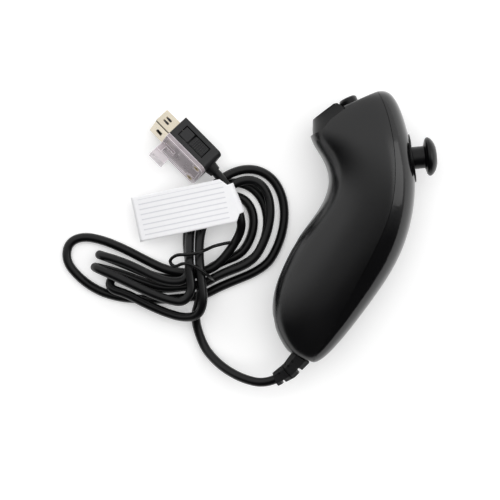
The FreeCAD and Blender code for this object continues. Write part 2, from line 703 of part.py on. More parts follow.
def make_c_button():
    cap = button_hole(0, -WALL - 0.5, BUTTON_PROUD)
    top_edges = [edge for edge in cap.Edges if edge.CenterOfMass.y > BUTTON_PROUD - 0.01]
    cap = cap.makeFillet(1.2, top_edges)
    flange = button_hole(0.9, -WALL - BUTTON_TRAVEL - 0.1, -WALL - 0.4)
    stem = rod(BUTTON_STEM_R, (BUTTON_AT, SWITCH_LEVEL + DOME_HIGH + 0.1, 0), (BUTTON_AT, -WALL, 0))
    return fuse([cap, flange, stem])


def rubber_dome(along):
    skirt = Part.makeCone(RUBBER_DOME_R, BUTTON_STEM_R, DOME_HIGH, V(along, SWITCH_LEVEL, 0), Y)
    inner = Part.makeCone(RUBBER_DOME_R - 0.6, BUTTON_STEM_R - 0.9, DOME_HIGH - 0.7,
                          V(along, SWITCH_LEVEL, 0), Y)
    return skirt.cut(inner)


def make_switch_board():
    half = TRAY_HALF - CHEEK_THICK - FIT
    inset = CHEEK_THICK + FIT / 2
    return box((TRAY_LOW + inset, SWITCH_LEVEL - SWITCH_BOARD_THICK, -half),
               (TRAY_HIGH - inset, SWITCH_LEVEL, half))


def make_button_bracket():
    floor_top = SWITCH_LEVEL - SWITCH_BOARD_THICK
    floor = box((TRAY_LOW, floor_top - TRAY_THICK, -TRAY_HALF), (TRAY_HIGH, floor_top, TRAY_HALF))
    parts = [floor]
    along, up = TRIGGER_PIVOT
    for side in (1, -1):
        low = min(side * (TRAY_HALF - CHEEK_THICK), side * TRAY_HALF)
        cheek = box((along - 3.2, floor_top - TRAY_THICK, low), (along + 2.4, up + 1.6, low + CHEEK_THICK))
        parts.append(cheek)
        rim = box((TRAY_LOW, floor_top - TRAY_THICK, low), (TRAY_HIGH, SWITCH_LEVEL + 0.6, low + CHEEK_THICK))
        parts.append(rim)
    bracket = fuse(parts)
    bracket = bracket.cut(rod(HINGE_PIN_R, (along, up, -20), (along, up, 20)))
    return on_nose(bracket).common(grip_solid(WALL + FIT / 3))


# Strain relief and the cord inside the case

def relief_ends():
    root = V(*RELIEF_ROOT)
    out = (V(*RELIEF_MIDDLE) - root).normalize()
    inner = root - out * (WALL + 1.6)
    return inner, root, out


def square_section(middle, direction, half):
    across = direction.cross(Z).normalize()
    up = across.cross(direction).normalize()
    corner = half * 0.45
    points = []
    for a, b in ((1, 1), (-1, 1), (-1, -1), (1, -1)):
        first = (half - corner, half) if a * b > 0 else (half, half - corner)
        second = (half, half - corner) if a * b > 0 else (half - corner, half)
        for u, v in (second, first):
            points.append(middle + across * (a * u) + up * (b * v))
    return Part.makePolygon(points + [points[0]])


def relief_axis():
    # a curve through the relief, square to the tail at its root and along the cord at its end
    root, middle, end = V(*RELIEF_ROOT), V(*RELIEF_MIDDLE), V(*RELIEF_END)
    curve = Part.BezierCurve()
    curve.setPoles([root, middle, end])
    return curve


def relief_half(share):
    return RELIEF_HALVES[0] + (RELIEF_HALVES[2] - RELIEF_HALVES[0]) * share


def on_relief(shape, share, way):
    # from axes of its own (+X along the relief, +Z out of the named side) to a place on the relief
    curve = relief_axis()
    direction = V(*curve.tangent(share)[0])
    across = direction.cross(Z).normalize()
    up = across.cross(direction).normalize()
    side = across * way[0] + up * way[1]
    moved = shape.copy()
    turn = FreeCAD.Rotation(direction, direction.cross(side) * -1, side, "XZY")
    moved.Placement = FreeCAD.Placement(curve.value(share), turn).multiply(moved.Placement)
    return moved


def make_strain_relief():
    curve = relief_axis()
    sections = []
    for share, half in zip((0.0, 0.5, 1.0), RELIEF_HALVES):
        direction = V(*curve.tangent(share)[0])
        sections.append(square_section(curve.value(share), direction, half))
    body = Part.makeLoft(sections, True, True)
    for share, way, wide, deep in RELIEF_CUTS:
        cut = Part.makeBox(wide, 20, 6, V(-wide / 2, -10, relief_half(share) - deep))
        body = body.cut(on_relief(cut, share, way))
    for share in RELIEF_POCKETS:
        half = relief_half(share)
        pocket = Part.makeBox(POCKET_WIDE, POCKET_WIDE, 6, V(-POCKET_WIDE / 2, 0, half - POCKET_DEEP))
        pocket.translate(V(0, -POCKET_WIDE / 2 - half / 2, 0))
        body = body.cut(on_relief(pocket, share, (0, 1)))
    inner, root, out = relief_ends()
    neck = Part.makeCylinder(RELIEF_NECK_R - RUNNING, WALL + 2.2, inner, out)
    flange = Part.makeCylinder(RELIEF_FLANGE_R - 0.9, 1.2, inner, out)
    return fuse([body, neck, flange])


def table_point(x, y, z):
    return V(x + STICK_X, y + STICK_Y, z)


def level(count):
    return CORD_R + LEVEL_STEP * count


def layered(points):
    return [table_point(x, y, level(count)) for x, y, count in points]


def ellipse_point(turn, swell, angle):
    lean = math.radians(LEAN)
    across = turn["reach"] * swell * math.cos(angle)
    along = turn["girth"] * swell * math.sin(angle)
    x = turn["centre"][0] + across * math.cos(lean) - along * math.sin(lean)
    y = turn["centre"][1] + across * math.sin(lean) + along * math.cos(lean)
    return x, y


def oval_points(turn, below):
    # from the leftmost point of a leaning ellipse, clockwise, while the cord comes down its ramp
    first = math.pi - math.atan(turn["girth"] / turn["reach"] * math.tan(math.radians(LEAN)))
    step = (math.radians(turn["stop"]) - first) / (OVAL_POINTS - 1)
    swell = math.cos(step / 2) ** -0.75
    low, high = turn["ramp"]
    upper, lower = turn["levels"]
    points = []
    for i in range(OVAL_POINTS):
        share = i / (OVAL_POINTS - 1)
        x, y = ellipse_point(turn, swell, first + step * i)
        down = 1
        if share < 0.5:
            down = min(1, max(0, (y - low) / (high - low)))
        fall = turn["fall"] * min(1, max(0, (share - 0.3) / 0.25))
        points.append((x, y, upper + (lower - upper) * down - fall))
    while points[0][1] < below[1] or math.dist(points[0][:2], below[:2]) < 4.5:
        points.pop(0)
    return points


def turn_points(turn):
    points = list(turn["curl"])
    if points[-1][1] < turn["ramp"][0] - 3.5:
        points.append((turn["column"], turn["ramp"][0], turn["levels"][0]))
    points += oval_points(turn, points[-1])
    y = FIRST_ROW - ROW_PITCH * turn["row"]
    deck = turn["row_level"]
    points.append((RIGHT_COLUMN + 7.5, y + 3.0 + 0.3 * (2 - turn["row"]), deck))
    points += [(RIGHT_COLUMN + 0.3, y, deck), (LEFT_COLUMN - 3.3, y - 0.2, deck)]
    return points + turn["leaf"]


def hank_points():
    points = []
    for turn in TURNS:
        points += turn_points(turn)
    return layered(points + LAST_ROW)


def least_gap(points, width):
    # the curve's own points half a millimetre apart, compared beyond three widths along it
    fine = []
    for i in range(1, len(points) - 1):
        first = (points[i - 1] + points[i]) * 0.5
        last = (points[i] + points[i + 1]) * 0.5
        count = max(4, int((last - first).Length / 0.5))
        for k in range(count):
            t = k / count
            fine.append(first * (1 - t) ** 2 + points[i] * (2 * t * (1 - t)) + last * t ** 2)
    skip = int(3.5 * width / 0.5)
    cells = {}
    least = width * 4
    for i, point in enumerate(fine):
        key = (int(point.x // 6), int(point.y // 6), int(point.z // 6))
        for dx in (-1, 0, 1):
            for dy in (-1, 0, 1):
                for dz in (-1, 0, 1):
                    for j in cells.get((key[0] + dx, key[1] + dy, key[2] + dz), []):
                        if i - j > skip:
                            least = min(least, (point - fine[j]).Length)
        cells.setdefault(key, []).append(i)
    return least - width


def cord_routes():
    curve = relief_axis()
    out = V(*curve.tangent(1.0)[0])
    end = V(*RELIEF_END) + TO_ROW
    lead = [end, end + out * LEAD_START] + [table_point(*point) for point in LEAD]
    hank = hank_points()
    boot_end, along = plug_boot_end()
    tail = [table_point(*point) for point in TAIL] + [boot_end - along * TAIL_END, boot_end]
    first_joint = (lead[-1] + hank[0]) * 0.5
    last_joint = (hank[-1] + tail[0]) * 0.5
    return lead + [first_joint], [first_joint] + hank + [last_joint], [last_joint] + tail


def make_cable_core():
    inner, root, out = relief_ends()
    end = V(BOARD_BACK - HEADER_DEEP - PLUG_PROUD, (HEADER_LOW[0] + HEADER_HIGH[0]) / 2,
            (HEADER_LOW[1] + HEADER_HIGH[1]) / 2)
    # past the lower case screw's boss, up the back of the case and into the header's plug
    points = [inner, inner - out * 4.5, V(-49.4, -60.0, 6.6), V(-45.5, -48.0, 6.8), V(-40.5, -36.0, 6.6),
              V(-36.6, -23.5, 6.9), end - X * 5.2, end]
    return tube(points, INNER_CORD_R, "cable_core")


def make_twist_tie():
    return tube([table_point(*point) for point in TIE], TIE_R, "twist_tie")


def make_tag():
    # in axes of its own: +X out along the leaf, +Y up, +Z along the fold, the cord on the Z axis
    inner = CORD_R + TAG_SLACK
    outer = inner + PAPER
    swing = 2 * math.degrees(math.atan(inner / TAG_JOIN))
    ring = Part.makeCylinder(outer, TAG_RING, V(0, 0, -TAG_RING / 2), Z, 180 + swing)
    ring = ring.cut(Part.makeCylinder(inner, 2 * TAG_RING, V(0, 0, -TAG_RING)))
    ring.rotate(V(0, 0, 0), Z, 90)
    turn = math.radians(TAG_TURN)
    half = TAG_WIDE / 2
    far_x = TAG_LONG * math.cos(turn)
    far_z = TAG_SHIFT + TAG_LONG * math.sin(turn)
    corners = [V(0, inner, TAG_SHIFT - half), V(0, inner, TAG_SHIFT + half),
               V(far_x - half * math.sin(turn), inner, far_z + half * math.cos(turn)),
               V(far_x + half * math.sin(turn), inner, far_z - half * math.cos(turn))]
    leaf = Part.Face(Part.makePolygon(corners + [corners[0]])).extrude(V(0, PAPER, 0))
    flap = Part.makeBox(TAG_JOIN, PAPER, TAG_RING, V(0, -outer, -TAG_RING / 2))
    flap.rotate(V(0, 0, 0), Z, swing)
    return fuse([ring, leaf, flap])


def plug_frame():
    along = V(PLUG_AXIS[0], PLUG_AXIS[1], 0).normalize()
    right = V(along.y, -along.x, 0)
    roll = math.radians(PLUG_ROLL)
    clear = Z * math.sin(roll) - right * math.cos(roll)
    latch = Z * math.cos(roll) + right * math.sin(roll)
    height = HOOD_THICK / 2 * math.sin(roll) + HOOD_WIDE / 2 * math.cos(roll)
    return table_point(PLUG_END[0], PLUG_END[1], height), along, clear, latch


def on_plug(shape):
    # from the plug's own axes (p, q, h) to the row
    start, along, clear, latch = plug_frame()
    matrix = FreeCAD.Matrix(along.x, clear.x, latch.x, start.x, along.y, clear.y, latch.y, start.y,
                            along.z, clear.z, latch.z, start.z, 0, 0, 0, 1)
    moved = shape.copy()
    moved.Placement = FreeCAD.Placement(matrix).multiply(moved.Placement)
    return moved


def plug_boot_end():
    start, along, clear, latch = plug_frame()
    return start - clear * (CLEAR_THICK / 2) + latch * BOOT_AT - along * BOOT_LONG, along


def hood_block(inset, low, high):
    half = HOOD_WIDE / 2 - inset
    block = box((inset, low, -half), (HOOD_LONG - inset, high, half))
    corners = [edge for edge in block.Edges if abs(edge.CenterOfMass.x - inset) < 0.01
               and edge.Length > 0.9 * (high - low) and abs(abs(edge.CenterOfMass.z) - half) < 0.01]
    return block.makeFillet(2.6 - inset, corners)


def latch_window():
    middle = -CLEAR_THICK / 2
    half = PAD_HALF + PAD_GAP
    return box((PAD_REAR[0] - PAD_GAP, middle - half, -HOOD_WIDE),
               (PAD_FRONT[1] + PAD_GAP, middle + half, HOOD_WIDE))


def make_hood_black():
    split = HOOD_THICK / 2 - CLEAR_THICK
    hood = hood_block(0, -HOOD_THICK / 2, split)
    hood = hood.cut(hood_block(HOOD_WALL, -HOOD_THICK / 2 + HOOD_WALL, split + 1))
    hood = hood.cut(latch_window())
    metal = box((HOOD_LONG - 2 * HOOD_WALL, -METAL_THICK / 2, -METAL_WIDE / 2),
                (HOOD_LONG + 1, METAL_THICK / 2, METAL_WIDE / 2))
    hood = hood.cut(metal)
    boot = Part.makeCylinder(BOOT_R - 1.0, 3 * HOOD_WALL, V(-HOOD_WALL, -CLEAR_THICK / 2, BOOT_AT), X)
    hood = hood.cut(boot)
    posts = []
    at, apart = PLUG_SCREWS
    for side in (1, -1):
        post = rod(PLUG_SCREW_R + 0.7, (at, -HOOD_THICK / 2 + HOOD_WALL, side * apart), (at, split, side * apart))
        posts.append(post)
    hood = hood.fuse([post.common(hood_block(0, -HOOD_THICK / 2, split)) for post in posts])
    for side in (1, -1):
        hood = hood.cut(rod(PLUG_SCREW_R, (at, -1.0, side * apart), (at, split + 1, side * apart)))
    for pin in make_latch_pins():
        hood = hood.cut(pin)
    return hood


def make_hood_clear():
    top = HOOD_THICK / 2
    lid = hood_block(0, top - CLEAR_THICK + 0.05, top)
    tray = hood_block(1.2, top - 0.6, top + 1)
    lid = lid.cut(tray)
    at, apart = PLUG_SCREWS
    for side in (1, -1):
        pad = rod(PLUG_SCREW_HEAD_R + 0.7, (at, top - CLEAR_THICK + 0.05, side * apart), (at, top, side * apart))
        lid = lid.fuse(pad.common(hood_block(0, top - CLEAR_THICK + 0.05, top)))
    for side in (1, -1):
        lid = lid.cut(rod(PLUG_SCREW_R + RUNNING, (at, 0, side * apart), (at, 2 * top, side * apart)))
        lid = lid.cut(rod(PLUG_SCREW_HEAD_R + RUNNING, (at, top - 0.8, side * apart), (at, 2 * top, side * apart)))
    fin = box((18.4, top - 0.6, -1.1), (20.8, top + 7.2, 1.1))
    block = box((13.9, top + 4.3, -2.6), (20.8, top + 7.2, 2.6))
    block = block.makeFillet(0.5, [edge for edge in block.Edges if edge.CenterOfMass.y > top + 7.1])
    root = box((13.9, top - 0.6, -1.1), (20.8, top + 0.5, 1.1))
    return fuse([lid, root, fin, block])


def make_metal_shell():
    low = HOOD_LONG - METAL_SEAT
    high = HOOD_LONG + METAL_PROUD
    half_q = METAL_THICK / 2
    half_h = METAL_WIDE / 2
    shell = box((low, -half_q, -half_h), (high, half_q, half_h))
    long_edges = [edge for edge in shell.Edges if edge.Length > high - low - 0.1]
    shell = shell.makeFillet(0.8, long_edges)
    inner = box((low - 1, -half_q + METAL_SHEET, -half_h + METAL_SHEET),
                (high + 1, half_q - METAL_SHEET, half_h - METAL_SHEET))
    shell = shell.cut(inner)
    half = HOOK_SLOT / 2
    for side in (1, -1):
        slot = box((high - 4.8, side * HOOK_AT - half, -20), (high - 2.0, side * HOOK_AT + half, 20))
        shell = shell.cut(slot)
    hole = box((high - 5.4, 0, -1.4), (high - 2.6, 20, 1.4))
    return shell.cut(hole)


def make_carrier():
    low = HOOD_LONG - CARRIER_BACK
    high = HOOD_LONG + METAL_PROUD - 2.0
    base = box((low, -METAL_THICK / 2 + METAL_SHEET, -CARRIER_WIDE / 2),
               (low + 5.0, METAL_THICK / 2 - METAL_SHEET, CARRIER_WIDE / 2))
    tongue = box((low, -CARRIER_THICK / 2, -CARRIER_WIDE / 2), (high, CARRIER_THICK / 2, CARRIER_WIDE / 2))
    body = base.fuse(tongue)
    for z in contact_places():
        body = body.cut(box((low - 1, CARRIER_THICK / 2 - 0.3, z - 0.4),
                            (high - 0.8, CARRIER_THICK / 2 + 0.1, z + 0.4)))
    return body.removeSplitter()


def contact_places():
    return [(i - (CONTACT_COUNT - 1) / 2) * 1.9 for i in range(CONTACT_COUNT)]


def make_contacts():
    low = HOOD_LONG - CARRIER_BACK
    high = HOOD_LONG + METAL_PROUD - 2.8
    strips = []
    for z in contact_places():
        strips.append(box((low - 1.5, CARRIER_THICK / 2 - 0.3, z - 0.4), (high, CARRIER_THICK / 2, z + 0.4)))
    return Part.makeCompound(strips)


def make_latch(side):
    # a bar hinged near the cord's end, its pads in the hood's window, its two hooks in the metal shell
    low_h = LATCH_BAR - LATCH_THICK
    middle = -CLEAR_THICK / 2
    tip = HOOD_LONG + METAL_PROUD - 2.4
    bar = box((LATCH_PIVOT, middle - 1.6, low_h), (PAD_FRONT[1] - 0.2, middle + 1.6, LATCH_BAR))
    arm = box((PAD_FRONT[1] - 2.0, -2.1, low_h), (tip, 2.1, LATCH_BAR))
    hub = rod(LATCH_PIN_R + 0.5, (LATCH_PIVOT, middle - 1.6, low_h + 0.3),
              (LATCH_PIVOT, middle + 1.6, low_h + 0.3))
    parts = [bar, arm, hub]
    outer = HOOD_WIDE / 2
    front, rear = PAD_FRONT, PAD_REAR
    for pad, top in ((front, outer - 0.1), (rear, outer - 0.5)):
        parts.append(box((pad[0], middle - PAD_HALF, LATCH_BAR - 0.2), (pad[1], middle + PAD_HALF, top)))
    for i in range(7):
        ridge = rear[0] + 0.4 + i * 0.95
        parts.append(box((ridge, middle - PAD_HALF, outer - 0.6),
                         (ridge + 0.45, middle + PAD_HALF, outer + 0.1)))
    for across in (1, -1):
        hook = prism([(tip - 2.0, LATCH_BAR - 0.2), (tip, LATCH_BAR - 0.2), (tip - 0.9, METAL_WIDE / 2 + 0.5),
                      (tip - 2.0, METAL_WIDE / 2 + 0.5)], 0, HOOK_THICK)
        hook.rotate(V(0, 0, 0), X, 90)
        parts.append(place(hook, V(0, across * HOOK_AT + HOOK_THICK / 2, 0)))
    lever = fuse(parts)
    pin = rod(LATCH_PIN_R + RUNNING, (LATCH_PIVOT, -20, low_h + 0.3), (LATCH_PIVOT, 20, low_h + 0.3))
    lever = lever.cut(pin)
    if side < 0:
        lever = lever.mirror(V(0, 0, 0), Z)
    return lever


def make_latch_pins():
    level_h = LATCH_BAR - LATCH_THICK + 0.3
    low = -HOOD_THICK / 2 + HOOD_WALL - 0.3
    high = HOOD_THICK / 2 - CLEAR_THICK
    return [rod(LATCH_PIN_R, (LATCH_PIVOT, low, h), (LATCH_PIVOT, high, h)) for h in (level_h, -level_h)]


def make_latch_springs():
    # in the middle of the hood, under the latch bars
    wire = LATCH_WIRE / 2
    rise = LATCH_BAR - LATCH_THICK - 0.3 - LATCH_WIRE
    spring = coil(LATCH_SPRING_R, wire, rise, SPRING_TURNS, "latch_spring")
    upper = place(spring, V(SPRING_AT, -CLEAR_THICK / 2, wire + 0.15))
    return upper, upper.mirror(V(0, 0, 0), Z)


def make_boot():
    centre = (0, -CLEAR_THICK / 2, BOOT_AT)
    cone = Part.makeCone(BOOT_R - 0.5, BOOT_R, BOOT_LONG, V(-BOOT_LONG, centre[1], centre[2]), X)
    neck = Part.makeCylinder(BOOT_R - 1.0 - RUNNING, HOOD_WALL + 0.8, V(0, centre[1], centre[2]), X)
    return cone.fuse(neck)


def make_plug_screws():
    top = HOOD_THICK / 2
    at, apart = PLUG_SCREWS
    screws = []
    for side in (1, -1):
        shank = rod(PLUG_SCREW_R, (at, -0.6, side * apart), (at, top - 0.8, side * apart))
        head = rod(PLUG_SCREW_HEAD_R, (at, top - 0.8, side * apart), (at, top - 0.1, side * apart))
        cross = box((at - 0.9, top - 0.5, side * apart - 0.2), (at + 0.9, top + 1, side * apart + 0.2))
        cross = cross.fuse(box((at - 0.2, top - 0.5, side * apart - 0.9), (at + 0.2, top + 1, side * apart + 0.9)))
        screws.append(shank.fuse(head).cut(cross))
    return Part.makeCompound(screws)


def export(name, shape):
    shape.exportStep("parts/%s.step" % name)
    print(name, shape.isValid(), len(shape.Solids), round(shape.Volume, 2))


def controller_pieces():
    skin = GRIP.cut(CAVITY)
    pieces = {
        "front_shell": make_front_shell(skin),
        "rear_shell": make_rear_shell(skin),
        "stick_gate": make_stick_gate(),
        "stick_cap": make_stick_cap(),
        "stick_dome": make_stick_dome(),
        "stick_rod": make_stick_rod(),
        "stick_yoke": make_yoke(),
        "yoke_pin": make_yoke_pin(),
        "rocker_bow": make_rocker_bow(),
        "stick_frame": make_stick_frame(),
        "yoke_pot": make_pot(False),
        "rocker_pot": make_pot(True),
        "stick_base": make_stick_base(),
        "centring_plate": make_centring_plate(),
        "centring_spring": make_centring_spring(),
        "main_board": make_main_board(),
        "board_screws": make_board_screws(),
        "control_chip": make_control_chip(),
        "motion_sensor": make_motion_sensor(),
        "cable_header": make_cable_header(),
        "cable_plug": make_cable_plug(),
        "case_screws": make_case_screws(),
        "z_trigger": make_trigger(),
        "trigger_pin": on_nose(make_hinge_pin()),
        "c_button": on_nose(make_c_button()),
        "z_dome": on_nose(rubber_dome(TRIGGER_LOW + 3.4)),
        "c_dome": on_nose(rubber_dome(BUTTON_AT)),
        "switch_board": on_nose(make_switch_board()),
        "button_bracket": make_button_bracket(),
        "strain_relief": make_strain_relief(),
        "cable_core": make_cable_core(),
    }
    return pieces


def tag_on_tail(route):
    # the run of the tail between its third and fourth points carries the tag's fold
    start, end = route[2], route[3]
    run = end - start
    along = V(run.x, run.y, 0).normalize()
    left = V(-along.y, along.x, 0)
    middle = (start + end) * 0.5
    matrix = FreeCAD.Matrix(left.x, 0, along.x, middle.x, left.y, 0, along.y, middle.y,
                            0, 1, 0, middle.z, 0, 0, 0, 1)
    droop = FreeCAD.Placement(V(0, 0, 0), FreeCAD.Rotation(Z, -TAG_DROOP))
    tag = make_tag()
    tag.Placement = FreeCAD.Placement(matrix).multiply(droop)
    return tag


def cord_pieces():
    lead, hank, tail = cord_routes()
    print("least gap of the hank to itself", round(least_gap(hank, 2 * CORD_R), 2))
    upper, lower = make_latch_pins()
    spring_up, spring_down = make_latch_springs()
    return {
        "cord_lead": tube(lead, CORD_R, "cord_lead"),
        "cord_hank": tube(hank, CORD_R, "cord_hank"),
        "cord_tail": tube(tail, CORD_R, "cord_tail"),
        "twist_tie": make_twist_tie(),
        "blank_tag": tag_on_tail(tail),
        "plug_hood_black": on_plug(make_hood_black()),
        "plug_hood_clear": on_plug(make_hood_clear()),
        "plug_metal_shell": on_plug(make_metal_shell()),
        "plug_contact_carrier": on_plug(make_carrier()),
        "plug_contacts": on_plug(make_contacts()),
        "latch_upper": on_plug(make_latch(1)),
        "latch_lower": on_plug(make_latch(-1)),
        "latch_pin_upper": on_plug(upper),
        "latch_pin_lower": on_plug(lower),
        "latch_spring_upper": on_plug(spring_up),
        "latch_spring_lower": on_plug(spring_down),
        "plug_boot": on_plug(make_boot()),
        "plug_screws": on_plug(make_plug_screws()),
    }


os.makedirs("parts", exist_ok=True)
print("middle height", round(MID_Z, 4))
for piece_name, piece in controller_pieces().items():
    export(piece_name, place(piece, TO_ROW))
for piece_name, piece in cord_pieces().items():
    export(piece_name, piece)
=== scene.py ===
# One-handed motion game controller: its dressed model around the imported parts, in metres.
import bmesh
import bpy
import json
import math
import numpy as np
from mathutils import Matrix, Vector

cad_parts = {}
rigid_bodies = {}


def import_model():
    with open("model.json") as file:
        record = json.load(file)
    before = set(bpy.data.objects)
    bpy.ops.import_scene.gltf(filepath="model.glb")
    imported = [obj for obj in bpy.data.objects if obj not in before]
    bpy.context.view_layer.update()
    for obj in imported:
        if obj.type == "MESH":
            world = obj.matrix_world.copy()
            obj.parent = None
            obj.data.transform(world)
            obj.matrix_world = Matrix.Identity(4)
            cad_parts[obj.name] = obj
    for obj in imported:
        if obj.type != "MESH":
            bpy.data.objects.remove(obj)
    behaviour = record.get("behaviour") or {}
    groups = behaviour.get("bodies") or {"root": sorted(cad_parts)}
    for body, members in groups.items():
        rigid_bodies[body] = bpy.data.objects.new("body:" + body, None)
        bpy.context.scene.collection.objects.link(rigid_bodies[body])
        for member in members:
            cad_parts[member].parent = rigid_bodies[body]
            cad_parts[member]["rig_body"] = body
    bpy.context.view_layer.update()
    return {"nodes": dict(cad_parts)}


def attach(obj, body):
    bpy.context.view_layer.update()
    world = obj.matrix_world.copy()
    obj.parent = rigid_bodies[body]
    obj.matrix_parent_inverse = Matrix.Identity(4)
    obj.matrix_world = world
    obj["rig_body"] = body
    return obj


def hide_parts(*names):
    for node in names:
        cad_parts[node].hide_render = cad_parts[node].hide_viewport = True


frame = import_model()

bl_info = {
    "name": "Motion controller",
    "version": (1, 0, 0),
    "blender": (4, 5, 0),
    "location": "View3D > Sidebar > Motion controller",
    "description": "Dresses a one-handed motion game controller, its cord, tag and plug",
    "category": "Object",
}

MM = 0.001
BODY = "controller"

# Where the stick's axis stands in plan and how high the grip's middle plane lies, in millimetres of
# the shared frame.
STICK_X = 28.5
STICK_Y = 28.7
MIDDLE_HEIGHT = 19.1535

# Copies of CAD nodes: how near two points are one, in millimetres, and the edge angles, in degrees,
# up to which they shade smooth.
MERGE = 0.002
SHELL_CREASE = 40.0
RELIEF_CREASE = 35.0
PART_CREASE = 30.0

# Camera: straight above, turned a little, with the whole photograph's width at the middle height,
# in millimetres and degrees. The nearest and the farthest that it sees are in metres.
VIEW_CENTRE = (-41.0, -1.2)
VIEW_WIDTH = 201.2
VIEW_TURN = -6.0
VIEW_DISTANCE = 780.0
SENSOR = 36.0
CLIP = (0.05, 20.0)

# Floor: how far it lies under the part, and the light that lifts it to white for the eye.
FLOOR_DROP = 0.02
FLOOR_LIFT = 0.24

# Cord, as plan points from the stick's axis and heights, as the part's source has them, but with
# the waist's two columns a third of a millimetre closer. The hank's heights count the cords that a
# point lies above the lowest one.
LEVEL_STEP = 4.35
LEFT_COLUMN = -94.4
RIGHT_COLUMN = -90.45
FIRST_ROW = -37.4
ROW_PITCH = 4.5
# The ovals' lean in degrees and their number of points. A smooth curve runs inside its points, so
# these stand out by this power of a cosine.
LEAN = 60.0
OVAL_POINTS = 11
OVAL_SWELL = -0.75
# The share of an oval by which the cord has come down its ramp, and the shares at which the last
# turn starts to sink and over which it does.
DOWN_BY = 0.5
FALL_FROM, FALL_OVER = 0.3, 0.25
# The least way from one point to the next where an oval or a ramp joins what comes before it.
OVAL_APART = 4.5
RAMP_APART = 3.5
# Where each row enters and leaves the waist, from the columns and its own height in plan.
ROW_ENTRY = (7.5, 3.0)
ROW_FAN = 0.3
ROW_RIGHT = 0.3
ROW_LEFT = (-3.3, -0.2)
RELIEF_MIDDLE = (-58.6, -80.8, MIDDLE_HEIGHT - 0.73)
RELIEF_END = (-64.5, -82.7, MIDDLE_HEIGHT - 2.0)
LEAD_START = 5.0
LEAD = [(-76.9, -82.0, 13.4), (-84.1, -77.6, 9.4), (-89.3, -72.4, 5.2), (-92.9, -66.6, 2.6)]
TAIL = [(-73.3, -24.2, 6.9), (-71.2, -17.4, 10.3)]
TAIL_END = 7.2
# The hank's turns. Each has the column that it climbs by and the curl that leads there; its levels
# above and below its ramp, the ramp's stretch in plan, and how far it sinks after that; its oval's
# centre, its half length and half width, and the angle at which it stops; its row through the waist
# and that row's level; and the leaf that takes it round to the next turn.
TURNS = [
    {"column": RIGHT_COLUMN,
     "curl": [(-95.2, -55.2, 0.42), (-92.2, -48.2, 1.72), (-90.4, -42.0, 2)],
     "levels": (2, 0), "ramp": (-33.6, -20.6), "fall": 0,
     "centre": (-78.2, -20.6), "reach": 14.4, "girth": 10.4, "stop": -120, "row": 0, "row_level": 0,
     "leaf": [(-105.9, -38.2, 0), (-113.9, -34.6, 0), (-121.7, -30.2, 0), (-130.9, -25.4, 0),
              (-130.9, -25.4, 2), (-122.9, -28.6, 2), (-115.7, -32.6, 2), (-108.5, -37.4, 2),
              (-102.3, -39.7, 2)]},
    {"column": LEFT_COLUMN,
     "curl": [(-97.0, -39.4, 2), (-94.5, -35.0, 2)],
     "levels": (2, 0), "ramp": (-33.5, -20.5), "fall": 0,
     "centre": (-77.9, -20.4), "reach": 19.8, "girth": 15.8, "stop": -112, "row": 1, "row_level": 0,
     "leaf": [(-106.3, -42.2, 0), (-113.7, -40.3, 0), (-119.9, -37.6, 0), (-126.6, -34.0, 0),
              (-128.9, -39.4, 1), (-121.5, -42.4, 1), (-114.5, -47.2, 1), (-106.9, -51.6, 1),
              (-99.5, -54.6, 1.5)]},
    {"column": RIGHT_COLUMN,
     "curl": [(-93.1, -54.4, 2.4), (-90.2, -48.6, 3), (-90.4, -40.0, 3)],
     "levels": (3, 1), "ramp": (-32.2, -19.2), "fall": 0,
     "centre": (-74.9, -21.2), "reach": 21.8, "girth": 12.8, "stop": -115, "row": 1, "row_level": 1,
     "leaf": [(-106.3, -41.8, 1), (-114.3, -38.4, 1), (-122.7, -34.0, 1), (-132.9, -30.2, 1),
              (-132.9, -30.2, 3), (-125.3, -34.6, 3), (-117.5, -39.4, 3), (-109.7, -44.0, 3),
              (-103.7, -46.8, 3)]},
    {"column": LEFT_COLUMN,
     "curl": [(-98.3, -48.2, 3), (-94.5, -43.6, 3), (-94.7, -37.0, 3)],
     "levels": (3, 1), "ramp": (-31.4, -18.4), "fall": 1,
     "centre": (-74.1, -21.0), "reach": 26.0, "girth": 18.2, "stop": -112, "row": 2, "row_level": 0,
     "leaf": [(-106.3, -46.5, 0), (-115.3, -45.4, 0), (-124.5, -43.9, 0), (-133.3, -40.2, 0),
              (-140.5, -34.0, 0), (-145.3, -26.6, 0), (-143.7, -19.2, 0), (-137.1, -17.0, 0),
              (-128.5, -19.8, 0), (-120.3, -24.4, 0), (-112.5, -29.6, 0), (-105.3, -34.0, 0.5)]},
]
LAST_ROW = [(-97.8, -36.4, 1), (-89.9, -37.0, 1), (-82.5, -34.4, 1)]

# Twist tie, as plan points from the stick's axis and heights.
TIE = [(-77.1, -26.0, 9.0), (-82.7, -26.4, 10.0), (-86.9, -27.8, 13.4), (-89.7, -28.8, 17.0),
       (-94.9, -29.2, 17.2), (-99.3, -28.6, 16.2), (-102.7, -30.8, 14.6), (-100.7, -33.8, 14.8),
       (-96.9, -32.2, 18.1), (-93.3, -33.4, 18.1), (-88.9, -36.9, 18.0), (-86.1, -39.8, 14.6),
       (-85.5, -40.4, 9.0)]

# Tag: a strip folded round the tail's straight run, in millimetres and degrees. How loosely it goes
# round the cord, its neck's share of its width and the length over which it widens, how far out it
# is stuck to itself and by how much its flap is shorter.
TAG_SLACK = 0.35
TAG_NECK = 0.68
TAG_SHOULDER = 2.2
TAG_JOIN = 7.0
FLAP_SHORT = 0.6
# Where it sits along the cord, how askew it lies, how far it hangs, its arch and its twist.
TAG_SHIFT = 1.3
TAG_TURN = 11.0
TAG_DROOP = 6.0
TAG_ARCH = 1.1
TAG_TWIST = 0.05
